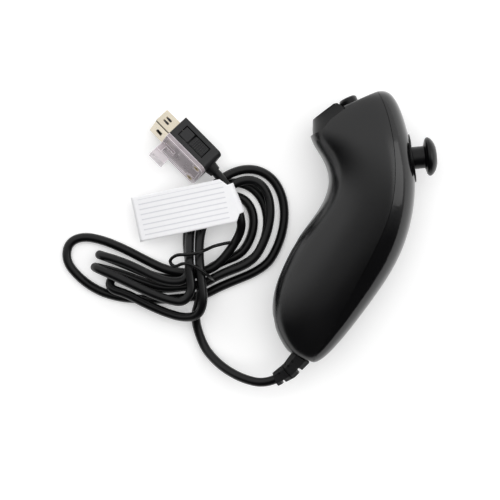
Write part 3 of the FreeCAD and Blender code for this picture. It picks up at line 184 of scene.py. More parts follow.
# Where its map puts the flap and the fold: short of the leaf, so that no rule falls on them.
OFF_LEAF = -1.0
TAG_COLUMNS = 25
FLAP_ROWS, FOLD_ROWS, LEAF_ROWS = 8, 26, 37

# The tag's printed rules: their pitch, their share of it, where they lie on the leaf, how dark.
RULE_PITCH = 2.1
RULE_SHARE = 0.24
RULES_LIE = (("X", 3.0, 38.5), ("Y", 1.6, 17.0))
RULE_INK = 0.55

# Plug: which way it points in plan, how far it is rolled about its length, in degrees, and where
# its middle line starts, at the hood's cord end. Then the hood's thickness and width, its clear
# half's thickness, and the boot's place and length.
PLUG_AXIS = (-0.627, 0.779)
PLUG_ROLL = 24.0
PLUG_END = (-83.2, 4.5)
HOOD_THICK = 11.9
HOOD_WIDE = 15.5
CLEAR_THICK = 1.9
BOOT_AT = 1.5
BOOT_LONG = 3.0


# Sizes and colours that a user may change

def linear(code):
    """One sRGB hex colour as the linear values that a shader takes."""
    parts = [int(code[i:i + 2], 16) / 255 for i in (1, 3, 5)]
    return [p / 12.92 if p <= 0.04045 else ((p + 0.055) / 1.055) ** 2.4 for p in parts]


def length_property(name, description, millimetres):
    return bpy.props.FloatProperty(name=name, description=description, default=millimetres * MM,
                                   min=0.0, subtype="DISTANCE", unit="LENGTH")


def colour_property(name, description, code):
    return bpy.props.FloatVectorProperty(name=name, description=description, default=linear(code),
                                         size=3, min=0.0, max=1.0, subtype="COLOR")


class ControllerSizes(bpy.types.PropertyGroup):
    """Sizes that a user may change."""
    cord_radius: length_property("Cord radius", "Half the cord's thickness", 1.85)
    tie_radius: length_property("Tie radius", "Half the thickness of the twist tie's sleeve", 0.68)
    paper: length_property("Paper", "Thickness of the tag's paper", 0.2)
    tag_long: length_property("Tag length", "Length of the tag's leaf beyond the cord", 41.0)
    tag_wide: length_property("Tag width", "Width of the tag's leaf along the cord", 18.4)
    floor_side: length_property("Floor", "Side of the floor", 6000.0)


class ControllerColours(bpy.types.PropertyGroup):
    """Colours that a user may change."""
    shell: colour_property("Shell", "Satin black ABS of the two shells", "#0b0b0c")
    parts: colour_property("Stick and buttons", "Smooth black ABS of the stick and the buttons",
                           "#0a0a0b")
    rubber: colour_property("Relief", "Soft black PVC of the strain relief", "#0d0d0e")
    cord: colour_property("Cord", "Black PVC of the cord's jacket", "#080809")
    hood: colour_property("Plug hood", "Satin black ABS of the plug's hood", "#151517")
    clear: colour_property("Clear hood", "Clear plastic with a faint violet grey cast", "#d6cad0")
    # Painted highlight: the near-white colour put on the clear hood's edges where light would catch
    # them.
    clear_edge_highlight: colour_property("Clear hood's edges", "Where the clear plastic gathers light",
                                "#f4eef2")
    metal: colour_property("Plug metal", "Nickel plate with a warm cast", "#dcd3c0")
    paper: colour_property("Tag", "White coated paper", "#f4f4f6")
    rule: colour_property("Tag rules", "Faint grey printed rules", "#c3c3ca")
    floor: colour_property("Floor", "White floor", "#f2f2f2")


def sizes():
    return bpy.context.scene.controller_sizes


def colours():
    return bpy.context.scene.controller_colours


# Nodes and materials

# The middle of a cloud's range, in which nearly all of it lies.
CLOUD_RANGE = {"From Min": 0.3, "From Max": 0.7}
# Where a mix of colours takes its two colours and gives its result.
MIX_FIRST, MIX_SECOND, MIX_RESULT = 6, 7, 2
# Moulded plastic: how far its tone drifts and its gloss varies, over how many millimetres.
TONE_DRIFT = 0.12
TONE_OVER = 26.0
GLOSS_DRIFT = 0.03
GLOSS_OVER = 14.0
# Metal: the tones of its marks, and how much sharper and duller they make its gloss.
MARK_TONES = (0.93, 1.05)
MARK_GLOSS = (-0.04, 0.06)
# Clear plastic: the width in millimetres of an edge's painted highlight, the cosine of its
# turn, how much the faces and the highlighted edges hide of what lies behind them, and the
# haze's roughness.
CLEAR_HIGHLIGHT_WIDTH = 0.5
CLEAR_TURN = 0.86
CLEAR_HIDES = (0.42, 0.85)
CLEAR_ROUGH = (0.05, 0.12)
PAPER_ROUGH = 0.62


def add(tree, kind, inputs=None, **settings):
    """Adds one node, sets its settings, sets or links each named input, and gives its outputs."""
    node = tree.nodes.new("ShaderNode" + kind)
    for name, value in settings.items():
        setattr(node, name, value)
    for name, value in (inputs or {}).items():
        if isinstance(value, bpy.types.NodeSocket):
            tree.links.new(value, node.inputs[name])
        else:
            node.inputs[name].default_value = value
    return node.outputs


def tone(colour, share):
    """A colour with its light scaled, as a shader's four values."""
    return [min(1.0, part * share) for part in colour] + [1.0]


def lumps(size):
    """The scale at which a cloud's lumps are about size millimetres across."""
    return 1.0 / (size * MM)


def surface(name, **values):
    """An empty material: its tree, its shader and where its pattern is measured, in metres."""
    made = bpy.data.materials.new(name)
    made.use_nodes = True
    tree = made.node_tree
    shader = tree.nodes["Principled BSDF"]
    for socket, value in values.items():
        shader.inputs[socket.replace("_", " ")].default_value = value
    place = add(tree, "TexCoord")["Object"]
    return made, tree, shader, place


def finish_surface(tree, shader, clouds, shades, rough, depth):
    """A surface's finish from three clouds: its colour drifts between two shades with the first and
    its roughness between two values with the second, and the third is a relief of depth
    millimetres. Gives the colour, for what covers it."""
    share = add(tree, "MapRange", {"Value": clouds[0], **CLOUD_RANGE})["Result"]
    colour = add(tree, "Mix", {"Factor": share, MIX_FIRST: shades[0], MIX_SECOND: shades[1]},
                 data_type="RGBA")[MIX_RESULT]
    gloss = add(tree, "MapRange", {"Value": clouds[1], **CLOUD_RANGE,
                                   "To Min": rough[0], "To Max": rough[1]})["Result"]
    normal = add(tree, "Bump", {"Height": clouds[2], "Strength": 1.0,
                                "Distance": depth * MM})["Normal"]
    for name, value in (("Base Color", colour), ("Roughness", gloss), ("Normal", normal)):
        tree.links.new(value, shader.inputs[name])
    return colour


def moulded(name, colour, rough, grain, depth, **values):
    """Moulded plastic: an even tone with a slow drift where it cooled, gloss that varies a little,
    and a fine grain from the mould's surface."""
    made, tree, shader, place = surface(name, **values)
    clouds = [add(tree, "TexNoise", {"Vector": place, "Scale": lumps(size),
                                     "Detail": detail})["Fac"]
              for size, detail in ((TONE_OVER, 2.0), (GLOSS_OVER, 3.0), (grain, 1.0))]
    shades = (tone(colour, 1 - TONE_DRIFT), tone(colour, 1 + TONE_DRIFT))
    finish_surface(tree, shader, clouds, shades, (rough - GLOSS_DRIFT, rough + GLOSS_DRIFT), depth)
    return made


def metal(name, colour, rough, grain, stretch=(1.0, 1.0, 1.0), depth=0.002):
    """Bare or plated metal: full reflection in its own colour, with fine marks drawn along one
    way."""
    made, tree, shader, place = surface(name, Metallic=1.0)
    drawn = add(tree, "Mapping", {"Vector": place, "Scale": stretch})["Vector"]
    marks = add(tree, "TexNoise", {"Vector": drawn, "Scale": lumps(grain)})["Fac"]
    finish_surface(tree, shader, (marks, marks, marks),
                   [tone(colour, share) for share in MARK_TONES],
                   [rough + change for change in MARK_GLOSS], depth)
    return made


def shell_material():
    # Satin ABS from a finely sparked mould: soft wide highlights and a grain of about 0.25 mm,
    # drawn at 0.5 mm, which is as fine as shows.
    return moulded("shell_satin_abs", colours().shell, rough=0.24, grain=0.5, depth=0.003, IOR=1.5)


def front_material():
    # The front shell's ABS comes from a polished mould: the same black with a clear gloss.
    return moulded("front_polished_abs", colours().shell, rough=0.12, grain=0.5, depth=0.001,
                   IOR=1.5)


def part_material():
    # ABS from a nearly polished mould, dulled by handling: smooth, with softer highlights.
    return moulded("stick_smooth_abs", colours().parts, rough=0.3, grain=0.6, depth=0.003, IOR=1.5,
                   Specular_IOR_Level=0.28)


def relief_material():
    # Soft PVC moulded round the cord: dull, with a faint flow pattern of about 1 mm.
    return moulded("relief_soft_pvc", colours().rubber, rough=0.5, grain=0.8, depth=0.006, IOR=1.52,
                   Specular_IOR_Level=0.32)


def cord_material():
    # Extruded PVC jacket: smooth satin, with a slow ripple of about 1 mm from the die.
    return moulded("cord_pvc_jacket", colours().cord, rough=0.3, grain=1.2, depth=0.004, IOR=1.5,
                   Specular_IOR_Level=0.32)


def tie_material():
    # Thin PVC pressed round a steel wire: as black as the cord, creased every millimetre or two.
    return moulded("tie_pvc_sleeve", colours().cord, rough=0.3, grain=1.5, depth=0.02, IOR=1.5,
                   Specular_IOR_Level=0.32)


def hood_material():
    # ABS with a spark-eroded texture of about 0.3 mm, drawn at 0.4 mm: duller and greyer than the
    # shells under the same light.
    return moulded("hood_textured_abs", colours().hood, rough=0.46, grain=0.4, depth=0.008,
                   IOR=1.54, Specular_IOR_Level=0.4)


def clear_material():
    # Clear polycarbonate, moulded: its inside shows through a faintly violet grey body with a
    # little haze, under the bright highlights of a glossy skin. Its edges get a painted highlight,
    # nearly white and less see-through, where the surface and its rounded self point different
    # ways.
    made, tree, shader, place = surface("hood_clear_polycarbonate", IOR=1.58)
    haze, waves = [add(tree, "TexNoise", {"Vector": place, "Scale": lumps(size)})["Fac"]
                   for size in (4.0, 3.0)]
    body = finish_surface(tree, shader, (haze, haze, waves),
                          (tone(colours().clear, 0.9), tone(colours().clear, 1.0)),
                          CLEAR_ROUGH, depth=0.01)
    flat = add(tree, "NewGeometry")["Normal"]
    rounded = add(tree, "Bevel", {"Radius": CLEAR_HIGHLIGHT_WIDTH * MM}, samples=8)["Normal"]
    same = add(tree, "VectorMath", {0: flat, 1: rounded}, operation="DOT_PRODUCT")["Value"]
    # The share of painted highlight: none on flat faces, all where an edge turns as far as
    # CLEAR_TURN.
    edge = add(tree, "MapRange", {"Value": same, "From Min": 1.0, "From Max": CLEAR_TURN})["Result"]
    edge_highlight_colour = tone(colours().clear_edge_highlight, 1.0)
    lit = add(tree, "Mix", {"Factor": edge, MIX_FIRST: body, MIX_SECOND: edge_highlight_colour},
              data_type="RGBA")[MIX_RESULT]
    hides = add(tree, "MapRange", {"Value": edge, "To Min": CLEAR_HIDES[0],
                                   "To Max": CLEAR_HIDES[1]})["Result"]
    tree.links.new(lit, shader.inputs["Base Color"])
    tree.links.new(hides, shader.inputs["Alpha"])
    return made


def paper_material():
    # Coated paper: matte, with fibre clouding of about 2 mm, and grey rules on its leaf, which stop
    # short of its edges. The UV map runs in metres along and across the leaf.
    made, tree, shader, place = surface("tag_coated_paper", IOR=1.5)
    fibre = add(tree, "TexNoise", {"Vector": place, "Scale": lumps(2.0), "Detail": 4.0})["Fac"]
    sheet = finish_surface(tree, shader, (fibre, fibre, fibre),
                           (tone(colours().paper, 0.975), tone(colours().paper, 1.0)),
                           (PAPER_ROUGH, PAPER_ROUGH), depth=0.01)
    leaf = add(tree, "SeparateXYZ", {"Vector": add(tree, "UVMap", uv_map="leaf")["UV"]})
    row = add(tree, "Math", {0: leaf["Y"], 1: 1 / (RULE_PITCH * MM)}, operation="MULTIPLY")[0]
    wave = add(tree, "Math", {0: row}, operation="FRACT")[0]
    ink = add(tree, "Math", {0: wave, 1: RULE_SHARE}, operation="LESS_THAN")[0]
    for axis, low, high in RULES_LIE:
        for limit, side in ((low, "GREATER_THAN"), (high, "LESS_THAN")):
            inside = add(tree, "Math", {0: leaf[axis], 1: limit * MM}, operation=side)[0]
            ink = add(tree, "Math", {0: ink, 1: inside}, operation="MULTIPLY")[0]
    ink = add(tree, "Math", {0: ink, 1: RULE_INK}, operation="MULTIPLY")[0]
    rule = tone(colours().rule, 1.0)
    printed = add(tree, "Mix", {"Factor": ink, MIX_FIRST: sheet, MIX_SECOND: rule},
                  data_type="RGBA")[MIX_RESULT]
    tree.links.new(printed, shader.inputs["Base Color"])
    return made


def board_material():
    # Solder mask over a glass-fibre board: green, glossy, with the weave's print of about 0.5 mm.
    return moulded("board_solder_mask", linear("#1b5a34"), rough=0.3, grain=0.5, depth=0.01,
                   IOR=1.55)


def plain_plastic(name, code, rough):
    # Unpainted moulded parts inside the case: even, dull, with a grain of about 0.8 mm.
    return moulded(name, linear(code), rough, grain=0.8, depth=0.006, IOR=1.5)


def slot_materials():
    """One finished material for each of the record's slots, and the front shell's own."""
    return {
        "shell_black": shell_material(),
        "front_black": front_material(),
        "part_black": part_material(),
        "inner_grey": plain_plastic("inner_grey_abs", "#7d7d80", rough=0.5),
        "sensor_blue": plain_plastic("sensor_blue_nylon", "#4f6893", rough=0.5),
        # Pressed steel sheet, with rolling marks about 0.3 mm wide, drawn at 0.5 mm.
        "steel": metal("steel_rolled_sheet", linear("#c2c2c4"), rough=0.32, grain=0.5,
                       stretch=(1.0, 8.0, 1.0)),
        # Drawn spring wire: darker, with fine marks of about 0.2 mm, drawn at 0.4 mm.
        "spring_steel": metal("spring_drawn_wire", linear("#a8a8ab"), rough=0.3, grain=0.4),
        "board_green": board_material(),
        "chip_black": plain_plastic("chip_epoxy", "#26262a", rough=0.55),
        "header_white": plain_plastic("header_nylon", "#e2dfd6", rough=0.5),
        "dome_rubber": plain_plastic("dome_silicone", "#616164", rough=0.6),
        "relief_rubber": relief_material(),
        "cord_black": cord_material(),
        "tie_black": tie_material(),
        "tag_paper": paper_material(),
        "hood_black": hood_material(),
        "hood_clear": clear_material(),
        # Nickel plate on pressed steel: bright, warm, with soft press marks of about 6 mm.
        "plug_metal": metal("plug_nickel_plate", colours().metal, rough=0.22, grain=6.0,
                            stretch=(0.3, 1.0, 1.0), depth=0.0005),
        # Brass: turned, with fine marks of about 0.2 mm, drawn at 0.4 mm.
        "brass": metal("brass_turned", linear("#a8987c"), rough=0.3, grain=0.4),
    }


# Shapes

def stage_object(name, data):
    """A new object with this data, put into the scene."""
    made = bpy.data.objects.new(name, data)
    bpy.context.scene.collection.objects.link(made)
    return made


def grid_mesh(name, points, uv=None):
    """A sheet of quads through a grid of points. uv, if given, is a grid of the same size with two
    values for each point."""
    rows, columns = points.shape[:2]
    index = np.arange(rows * columns).reshape(rows, columns)
    faces = np.stack([index[:-1, :-1], index[1:, :-1], index[1:, 1:], index[:-1, 1:]], axis=-1)
    mesh = bpy.data.meshes.new(name)
    mesh.from_pydata(points.reshape(-1, 3).tolist(), [], faces.reshape(-1, 4).tolist())
    if uv is not None:
        layer = mesh.uv_layers.new(name="leaf")
        corners = np.empty(len(mesh.loops), dtype=np.int32)
        mesh.loops.foreach_get("vertex_index", corners)
        layer.uv.foreach_set("vector", uv.reshape(-1, 2)[corners].astype(np.float32).ravel())
    mesh.shade_smooth()
    return mesh


def merged_copy(node_name, angle):
    """A copy of a CAD node with its loose triangles merged and shaded smooth up to an edge angle,
    which stands for the node."""
    mesh = frame["nodes"][node_name].data.copy()
    work = bmesh.new()
    work.from_mesh(mesh)
    bmesh.ops.remove_doubles(work, verts=work.verts, dist=MERGE * MM)
    work.to_mesh(mesh)
    work.free()
    if "custom_normal" in mesh.attributes:
        mesh.attributes.remove(mesh.attributes["custom_normal"])
    mesh.shade_smooth()
    mesh.set_sharp_from_angle(angle=math.radians(angle))
    mesh.materials.clear()
    made = stage_object(node_name + "_skin", mesh)
    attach(made, frame["nodes"][node_name]["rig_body"])
    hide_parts(node_name)
    return made


def paint(made, look):
    """Gives an object one material and no other."""
    made.data.materials.clear()
    made.data.materials.append(MATERIALS[look])


def finish_piece(made, slot, look=None):
    """Gives a new piece its slot's material, or another look of it, and the controller's body to
    move with, unless it has one."""
    paint(made, look or slot)
    if "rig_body" not in made:
        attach(made, BODY)


def dress_nodes(slot, *names):
    """Gives CAD nodes that stay as they are a slot's material."""
    for name in names:
        paint(frame["nodes"][name], slot)


def plan_point(x, y, z):
    """A plan point from the stick's axis and a height, in millimetres of the shared frame."""
    return (x + STICK_X, y + STICK_Y, z)


def line_object(name, route, radius, sides, steps):
    """A round line along one smooth curve that the route's points pull on."""
    curve = bpy.data.curves.new(name, "CURVE")
    curve.dimensions = "3D"
    spline = curve.splines.new("NURBS")
    spline.points.add(len(route) - 1)
    for point, place in zip(spline.points, route):
        point.co = [value * MM for value in place] + [1.0]
    spline.order_u = 3
    spline.use_endpoint_u = True
    spline.resolution_u = steps
    spline.use_smooth = True
    curve.bevel_depth = radius
    curve.bevel_resolution = sides
    curve.use_fill_caps = True
    return stage_object(name, curve)


# Cord

def cord_level(count):
    """The height of a cord's middle that lies so many cords above the lowest one."""
    return sizes().cord_radius / MM + LEVEL_STEP * count


def oval_points(turn, below):
    """From the leftmost point of a leaning ellipse, clockwise, while the cord comes down its ramp.
    Its first points are left out until one is above and apart from the column's last."""
    lean = math.radians(LEAN)
    first = math.pi - math.atan(turn["girth"] / turn["reach"] * math.tan(lean))
    step = (math.radians(turn["stop"]) - first) / (OVAL_POINTS - 1)
    swell = math.cos(step / 2) ** OVAL_SWELL
    low, high = turn["ramp"]
    upper, lower = turn["levels"]
    points = []
    for i in range(OVAL_POINTS):
        share = i / (OVAL_POINTS - 1)
        across = turn["reach"] * swell * math.cos(first + step * i)
        along = turn["girth"] * swell * math.sin(first + step * i)
        x = turn["centre"][0] + across * math.cos(lean) - along * math.sin(lean)
        y = turn["centre"][1] + across * math.sin(lean) + along * math.cos(lean)
        down = min(1, max(0, (y - low) / (high - low))) if share < DOWN_BY else 1
        fall = turn["fall"] * min(1, max(0, (share - FALL_FROM) / FALL_OVER))
        points.append((x, y, upper + (lower - upper) * down - fall))
    while points[0][1] < below[1] or math.dist(points[0][:2], below[:2]) < OVAL_APART:
        points.pop(0)
    return points


def turn_points(turn):
    """One turn of the hank: up its column, round its oval, back through the waist in its row, and
    round its leaf."""
    points = list(turn["curl"])
    if points[-1][1] < turn["ramp"][0] - RAMP_APART:
        points.append((turn["column"], turn["ramp"][0], turn["levels"][0]))
    points += oval_points(turn, points[-1])
    y = FIRST_ROW - ROW_PITCH * turn["row"]
    deck = turn["row_level"]
    last_row = max(other["row"] for other in TURNS)
    entry_y = y + ROW_ENTRY[1] + ROW_FAN * (last_row - turn["row"])
    points += [(RIGHT_COLUMN + ROW_ENTRY[0], entry_y, deck), (RIGHT_COLUMN + ROW_RIGHT, y, deck),
               (LEFT_COLUMN + ROW_LEFT[0], y + ROW_LEFT[1], deck)]
    return points + turn["leaf"]


def plug_frame():
    """The plug's start and its directions: along it, out of its clear face, to its upper latch.
    Rolled about its length, it lies on an edge of its hood, which gives its start's height."""
    along = Vector((*PLUG_AXIS, 0.0)).normalized()
    right = Vector((along.y, -along.x, 0.0))
    roll = math.radians(PLUG_ROLL)
    up = Vector((0.0, 0.0, 1.0))
    clear = up * math.sin(roll) - right * math.cos(roll)
    latch = up * math.cos(roll) + right * math.sin(roll)
    height = HOOD_THICK / 2 * math.sin(roll) + HOOD_WIDE / 2 * math.cos(roll)
    return Vector(plan_point(*PLUG_END, height)), along, clear, latch


def boot_points():
    """Where the cord straightens for the plug's boot, and where it enters it."""
    start, along, clear, latch = plug_frame()
    end = start - clear * (CLEAR_THICK / 2) + latch * BOOT_AT - along * BOOT_LONG
    return end - along * TAIL_END, end


def cord_route():
    """Relief, lead, the hank's four turns and the tail to the plug's boot."""
    end = Vector(plan_point(*RELIEF_END))
    out = (end - Vector(plan_point(*RELIEF_MIDDLE))).normalized()
    route = [tuple(end), tuple(end + out * LEAD_START)] + [plan_point(*point) for point in LEAD]
    hank = []
    for turn in TURNS:
        hank += turn_points(turn)
    route += [plan_point(x, y, cord_level(count)) for x, y, count in hank + LAST_ROW]
    route += [plan_point(*point) for point in TAIL]
    return route + [tuple(point) for point in boot_points()]


# Tag

def tail_run():
    """The straight run of the tail that the tag is folded round: its middle, and the level way
    along it."""
    start = Vector(plan_point(*TAIL[1]))
    end = boot_points()[0]
    run = end - start
    return (start + end) * 0.5, Vector((run.x, run.y, 0.0)).normalized()


def tag_points():
    """A strip of paper folded round the run of the tail a little askew. Its rows go from the flap's
    end round the cord and out along the leaf, and its columns across it. Seen along the cord, the
    fold is three fifths of a circle, and the leaf leaves its top and arches as half a sine. The
    strip is a narrower neck round the cord, and widens to the leaf over its shoulders."""
    ring = sizes().cord_radius / MM + TAG_SLACK
    swing = 2 * math.atan(ring / TAG_JOIN)
    turn = math.radians(TAG_TURN)
    half = sizes().tag_wide / MM / 2
    across = np.linspace(-half, half, TAG_COLUMNS)[None, :]
    neck = across * TAG_NECK
    fold_z = TAG_SHIFT + neck / math.cos(turn)
    # Flap: straight out from the bottom of the fold, under the leaf.
    level = 0 * across
    t = np.linspace(TAG_JOIN - FLAP_SHORT, 0.0, FLAP_ROWS)[:, None]
    flap_out = t * math.cos(turn)
    flap = [ring * math.sin(swing) + flap_out * math.cos(swing) + level,
            -ring * math.cos(swing) + flap_out * math.sin(swing) + level,
            fold_z + t * math.sin(turn)]
    # Fold: round the back of the cord to its top.
    angle = np.linspace(swing - math.pi / 2, -1.5 * math.pi, FOLD_ROWS)[1:, None]
    fold = [ring * np.cos(angle) + level, ring * np.sin(angle) + level, fold_z + 0 * angle]
    # Leaf: out to its square end, with a slow twist that lifts one corner.
    s = np.linspace(0.0, 1.0, LEAF_ROWS)[1:, None]
    leaf_long = sizes().tag_long / MM
    widening = np.minimum(1.0, s * leaf_long / TAG_SHOULDER)
    across = neck + (across - neck) * widening
    first = across * math.tan(turn)
    out = first + s * (leaf_long - first)
    leaf = [out * math.cos(turn) - across * math.sin(turn),
            ring + TAG_ARCH * np.sin(math.pi * s) + TAG_TWIST * across * s * s,
            TAG_SHIFT + out * math.sin(turn) + across * math.cos(turn)]
    x, y, z = (np.concatenate(parts) for parts in zip(flap, fold, leaf))
    droop = -math.radians(TAG_DROOP)
    x, y = x * math.cos(droop) - y * math.sin(droop), x * math.sin(droop) + y * math.cos(droop)
    middle, along = tail_run()
    axes = np.array([(-along.y, along.x, 0.0), (0.0, 0.0, 1.0), along])
    points = np.array(middle) + np.stack([x, y, z], axis=-1) @ axes
    rows_before = (len(t) + len(angle), across.shape[1])
    paper_out = np.concatenate([np.full(rows_before, OFF_LEAF), out])
    paper_across = np.concatenate([np.broadcast_to(neck, rows_before), across]) + half
    uv = np.stack([paper_out, paper_across], axis=-1)
    return points * MM, uv * MM


# Operators

class StageOperator(bpy.types.Operator):
    """Makes the camera, the floor, the lamps and the world."""
    bl_idname = "controller.stage"
    bl_label = "Stage"

    def execute(self, context):
        scene = context.scene
        scene.view_settings.view_transform = "Standard"
        make_camera(scene)
        make_floor()
        make_lamps()
        make_world(scene)
        return {"FINISHED"}


def make_camera(scene):
    """Focal length from similar triangles: sensor over view width, times distance."""
    data = bpy.data.cameras.new("camera")
    data.sensor_width = SENSOR
    data.lens = SENSOR * VIEW_DISTANCE / VIEW_WIDTH
    data.clip_start, data.clip_end = CLIP
    camera = stage_object("camera", data)
    camera.location = Vector((*VIEW_CENTRE, MIDDLE_HEIGHT + VIEW_DISTANCE)) * MM
    camera.rotation_euler = (0.0, 0.0, math.radians(VIEW_TURN))
    scene.camera = camera


def seen_directly(tree):
    """One where the camera, a reflection or a see-through part looks straight at the surface."""
    path = add(tree, "LightPath")
    seen = path["Is Camera Ray"]
    for ray in ("Is Glossy Ray", "Is Transmission Ray"):
        seen = add(tree, "Math", {0: seen, 1: path[ray]}, operation="MAXIMUM")[0]
    return seen


def make_floor():
    """A square sheet of white floor, lifted to white for the eye, which still takes shadows."""
    half = sizes().floor_side / 2
    corner = np.linspace(-half, half, 2)
    x, y = np.meshgrid(corner, corner, indexing="ij")
    mesh = grid_mesh("floor", np.stack([x, y, np.full_like(x, -FLOOR_DROP * MM)], axis=-1))
    floor = stage_object("floor", mesh)
    # Matte board: no gloss, an even tone with the faintest clouding over about 60 mm.
    made, tree, shader, place = surface("floor_white_board", Roughness=0.9, Specular_IOR_Level=0.0)
    cloud = add(tree, "TexNoise", {"Vector": place, "Scale": lumps(60.0)})["Fac"]
    share = add(tree, "MapRange", {"Value": cloud, **CLOUD_RANGE})["Result"]
    shade = add(tree, "Mix", {"Factor": share, MIX_FIRST: tone(colours().floor, 0.99),
                              MIX_SECOND: tone(colours().floor, 1.0)}, data_type="RGBA")[MIX_RESULT]
    tree.links.new(shade, shader.inputs["Base Color"])
    shader.inputs["Emission Color"].default_value = (1.0, 1.0, 1.0, 1.0)
    lift = add(tree, "Math", {0: seen_directly(tree), 1: FLOOR_LIFT}, operation="MULTIPLY")[0]
    tree.links.new(lift, shader.inputs["Emission Strength"])
    mesh.materials.append(made)


# The room is white towards the photograph's top and dark towards its foot. Each end is a share of
# the way from straight above, at 0, to the horizon at the top, at 1, with the light that it has.
WORLD_WAY = (0.17, 0.98, 0.0)
DARK_END = (-0.32, 0.03)
BRIGHT_END = (0.14, 1.05)
# Where the lamps look, and for each its name, place and side lengths, all in metres, its power in
# watts, and whether glossy surfaces show it.
LAMP_AIM = Vector((-0.03, 0.0, 0.0))
LAMPS = [
    ("key", (1.0, 0.0, 0.6), (0.7, 0.9), 2.4, True),
    ("fill", (0.0, 0.0, 1.3), (1.4, 1.4), 9.0, False),
]


def make_lamps():
    """Soft lamps: one low at the right, which the gloss shows, and one above, which it doesn't."""
    for name, place, size, power, shown in LAMPS:
        data = bpy.data.lights.new(name, "AREA")
        data.shape = "RECTANGLE"
        data.size, data.size_y = size
        data.energy = power
        lamp = stage_object(name, data)
        lamp.location = place
        lamp.visible_glossy = shown
        lamp.rotation_euler = (LAMP_AIM - Vector(place)).to_track_quat("-Z", "Y").to_euler()


def make_world(scene):
    """A plain white room that darkens towards one side."""
    world = bpy.data.worlds.new("plain")
    scene.world = world
    world.use_nodes = True
    tree = world.node_tree
    background = tree.nodes["Background"]
    background.inputs["Color"].default_value = (1.0, 1.0, 1.0, 1.0)
    sight = add(tree, "TexCoord")["Generated"]
    share = add(tree, "VectorMath", {0: sight, 1: WORLD_WAY}, operation="DOT_PRODUCT")["Value"]
    light = add(tree, "MapRange", {"Value": share, "From Min": DARK_END[0],
                                   "From Max": BRIGHT_END[0], "To Min": DARK_END[1],
                                   "To Max": BRIGHT_END[1]})["Result"]
    tree.links.new(light, background.inputs["Strength"])


class CordOperator(bpy.types.Operator):
    """Makes the whole cord: lead, hank and tail."""
    bl_idname = "controller.cord"
    bl_label = "Cord"

    def execute(self, context):
        made = line_object("cord", cord_route(), sizes().cord_radius, sides=5, steps=10)
        finish_piece(made, "cord_black")
        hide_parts("cord_lead", "cord_hank", "cord_tail")
        return {"FINISHED"}


class TieOperator(bpy.types.Operator):
    """Makes the twist tie round the hank's waist."""
    bl_idname = "controller.tie"
    bl_label = "Twist tie"

    def execute(self, context):
        route = [plan_point(*point) for point in TIE]
        made = line_object("tie", route, sizes().tie_radius, sides=3, steps=8)
        finish_piece(made, "tie_black")
        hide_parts("twist_tie")
        return {"FINISHED"}


class TagOperator(bpy.types.Operator):
    """Makes the blank paper tag folded round the tail."""
    bl_idname = "controller.tag"
    bl_label = "Tag"

    def execute(self, context):
        points, uv = tag_points()
        made = stage_object("tag", grid_mesh("tag", points, uv=uv))
        finish_piece(made, "tag_paper")
        thick = made.modifiers.new("paper", "SOLIDIFY")
        thick.thickness = sizes().paper
        thick.offset = 0.0
        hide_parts("blank_tag")
        return {"FINISHED"}


class ShellsOperator(bpy.types.Operator):
    """Dresses the two shells and the strain relief."""
    bl_idname = "controller.shells"
    bl_label = "Shells"

    def execute(self, context):
        finish_piece(merged_copy("front_shell", SHELL_CREASE), "shell_black", look="front_black")
        finish_piece(merged_copy("rear_shell", SHELL_CREASE), "shell_black")
        finish_piece(merged_copy("strain_relief", RELIEF_CREASE), "relief_rubber")
        return {"FINISHED"}


class StickOperator(bpy.types.Operator):
    """Dresses the stick, its socket and its mechanism."""
    bl_idname = "controller.stick"
    bl_label = "Stick"

    def execute(self, context):
        for name in ("stick_cap", "stick_dome", "stick_gate"):
            finish_piece(merged_copy(name, PART_CREASE), "part_black")
        dress_nodes("inner_grey", "stick_yoke", "rocker_bow", "centring_plate")
        dress_nodes("steel", "stick_frame", "stick_rod", "yoke_pin")
        dress_nodes("part_black", "stick_base")
        dress_nodes("sensor_blue", "yoke_pot", "rocker_pot")
        dress_nodes("spring_steel", "centring_spring")
        return {"FINISHED"}


class ButtonsOperator(bpy.types.Operator):
    """Dresses the trigger, the small button and what lies under them."""
    bl_idname = "controller.buttons"
    bl_label = "Buttons"

    def execute(self, context):
        for name in ("z_trigger", "c_button"):
            finish_piece(merged_copy(name, PART_CREASE), "part_black")
        dress_nodes("inner_grey", "button_bracket")
        dress_nodes("steel", "trigger_pin")
        dress_nodes("dome_rubber", "z_dome", "c_dome")
        dress_nodes("board_green", "switch_board")
        return {"FINISHED"}


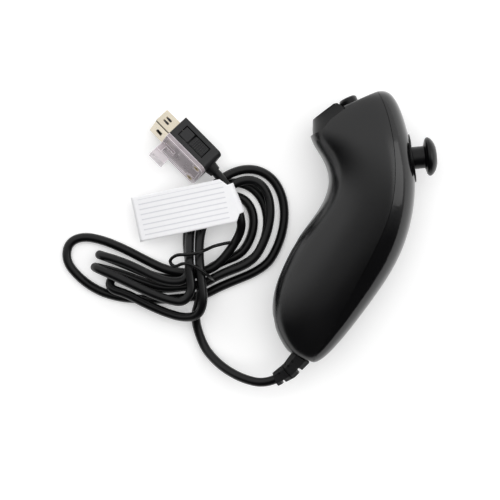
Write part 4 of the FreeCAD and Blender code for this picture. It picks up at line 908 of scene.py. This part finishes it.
class InsidesOperator(bpy.types.Operator):
    """Dresses the main board, its chips and the screws."""
    bl_idname = "controller.insides"
    bl_label = "Insides"

    def execute(self, context):
        dress_nodes("board_green", "main_board")
        dress_nodes("chip_black", "control_chip", "motion_sensor")
        dress_nodes("header_white", "cable_header", "cable_plug")
        dress_nodes("steel", "board_screws", "case_screws")
        dress_nodes("cord_black", "cable_core")
        return {"FINISHED"}


class PlugOperator(bpy.types.Operator):
    """Dresses the plug: its two hood halves, metal shell, latches and boot."""
    bl_idname = "controller.plug"
    bl_label = "Plug"

    def execute(self, context):
        for name, slot in (("plug_hood_black", "hood_black"), ("plug_hood_clear", "hood_clear"),
                           ("plug_metal_shell", "plug_metal"), ("plug_boot", "relief_rubber"),
                           ("latch_upper", "hood_black"), ("latch_lower", "hood_black")):
            finish_piece(merged_copy(name, PART_CREASE), slot)
        dress_nodes("header_white", "plug_contact_carrier")
        dress_nodes("brass", "plug_contacts", "plug_screws")
        dress_nodes("spring_steel", "latch_spring_upper", "latch_spring_lower")
        dress_nodes("steel", "latch_pin_upper", "latch_pin_lower")
        return {"FINISHED"}


class ControllerPanel(bpy.types.Panel):
    """Lists the sizes, the colours and the steps."""
    bl_idname = "VIEW3D_PT_controller"
    bl_label = "Motion controller"
    bl_space_type = "VIEW_3D"
    bl_region_type = "UI"
    bl_category = "Motion controller"

    def draw(self, context):
        for group in (sizes(), colours()):
            box = self.layout.box()
            for name in type(group).__annotations__:
                box.prop(group, name)
        for step in STEPS:
            self.layout.operator(step.bl_idname)


STEPS = (StageOperator, CordOperator, TieOperator, TagOperator, ShellsOperator, StickOperator,
         ButtonsOperator, InsidesOperator, PlugOperator)
CLASSES = (ControllerSizes, ControllerColours) + STEPS + (ControllerPanel,)
MATERIALS = {}


def register():
    for cls in CLASSES:
        bpy.utils.register_class(cls)
    bpy.types.Scene.controller_sizes = bpy.props.PointerProperty(type=ControllerSizes)
    bpy.types.Scene.controller_colours = bpy.props.PointerProperty(type=ControllerColours)


def unregister():
    del bpy.types.Scene.controller_colours
    del bpy.types.Scene.controller_sizes
    for cls in reversed(CLASSES):
        bpy.utils.unregister_class(cls)


def main():
    register()
    MATERIALS.update(slot_materials())
    for step in STEPS:
        group, name = step.bl_idname.split(".")
        getattr(getattr(bpy.ops, group), name)()


if __name__ == "__main__":
    main()
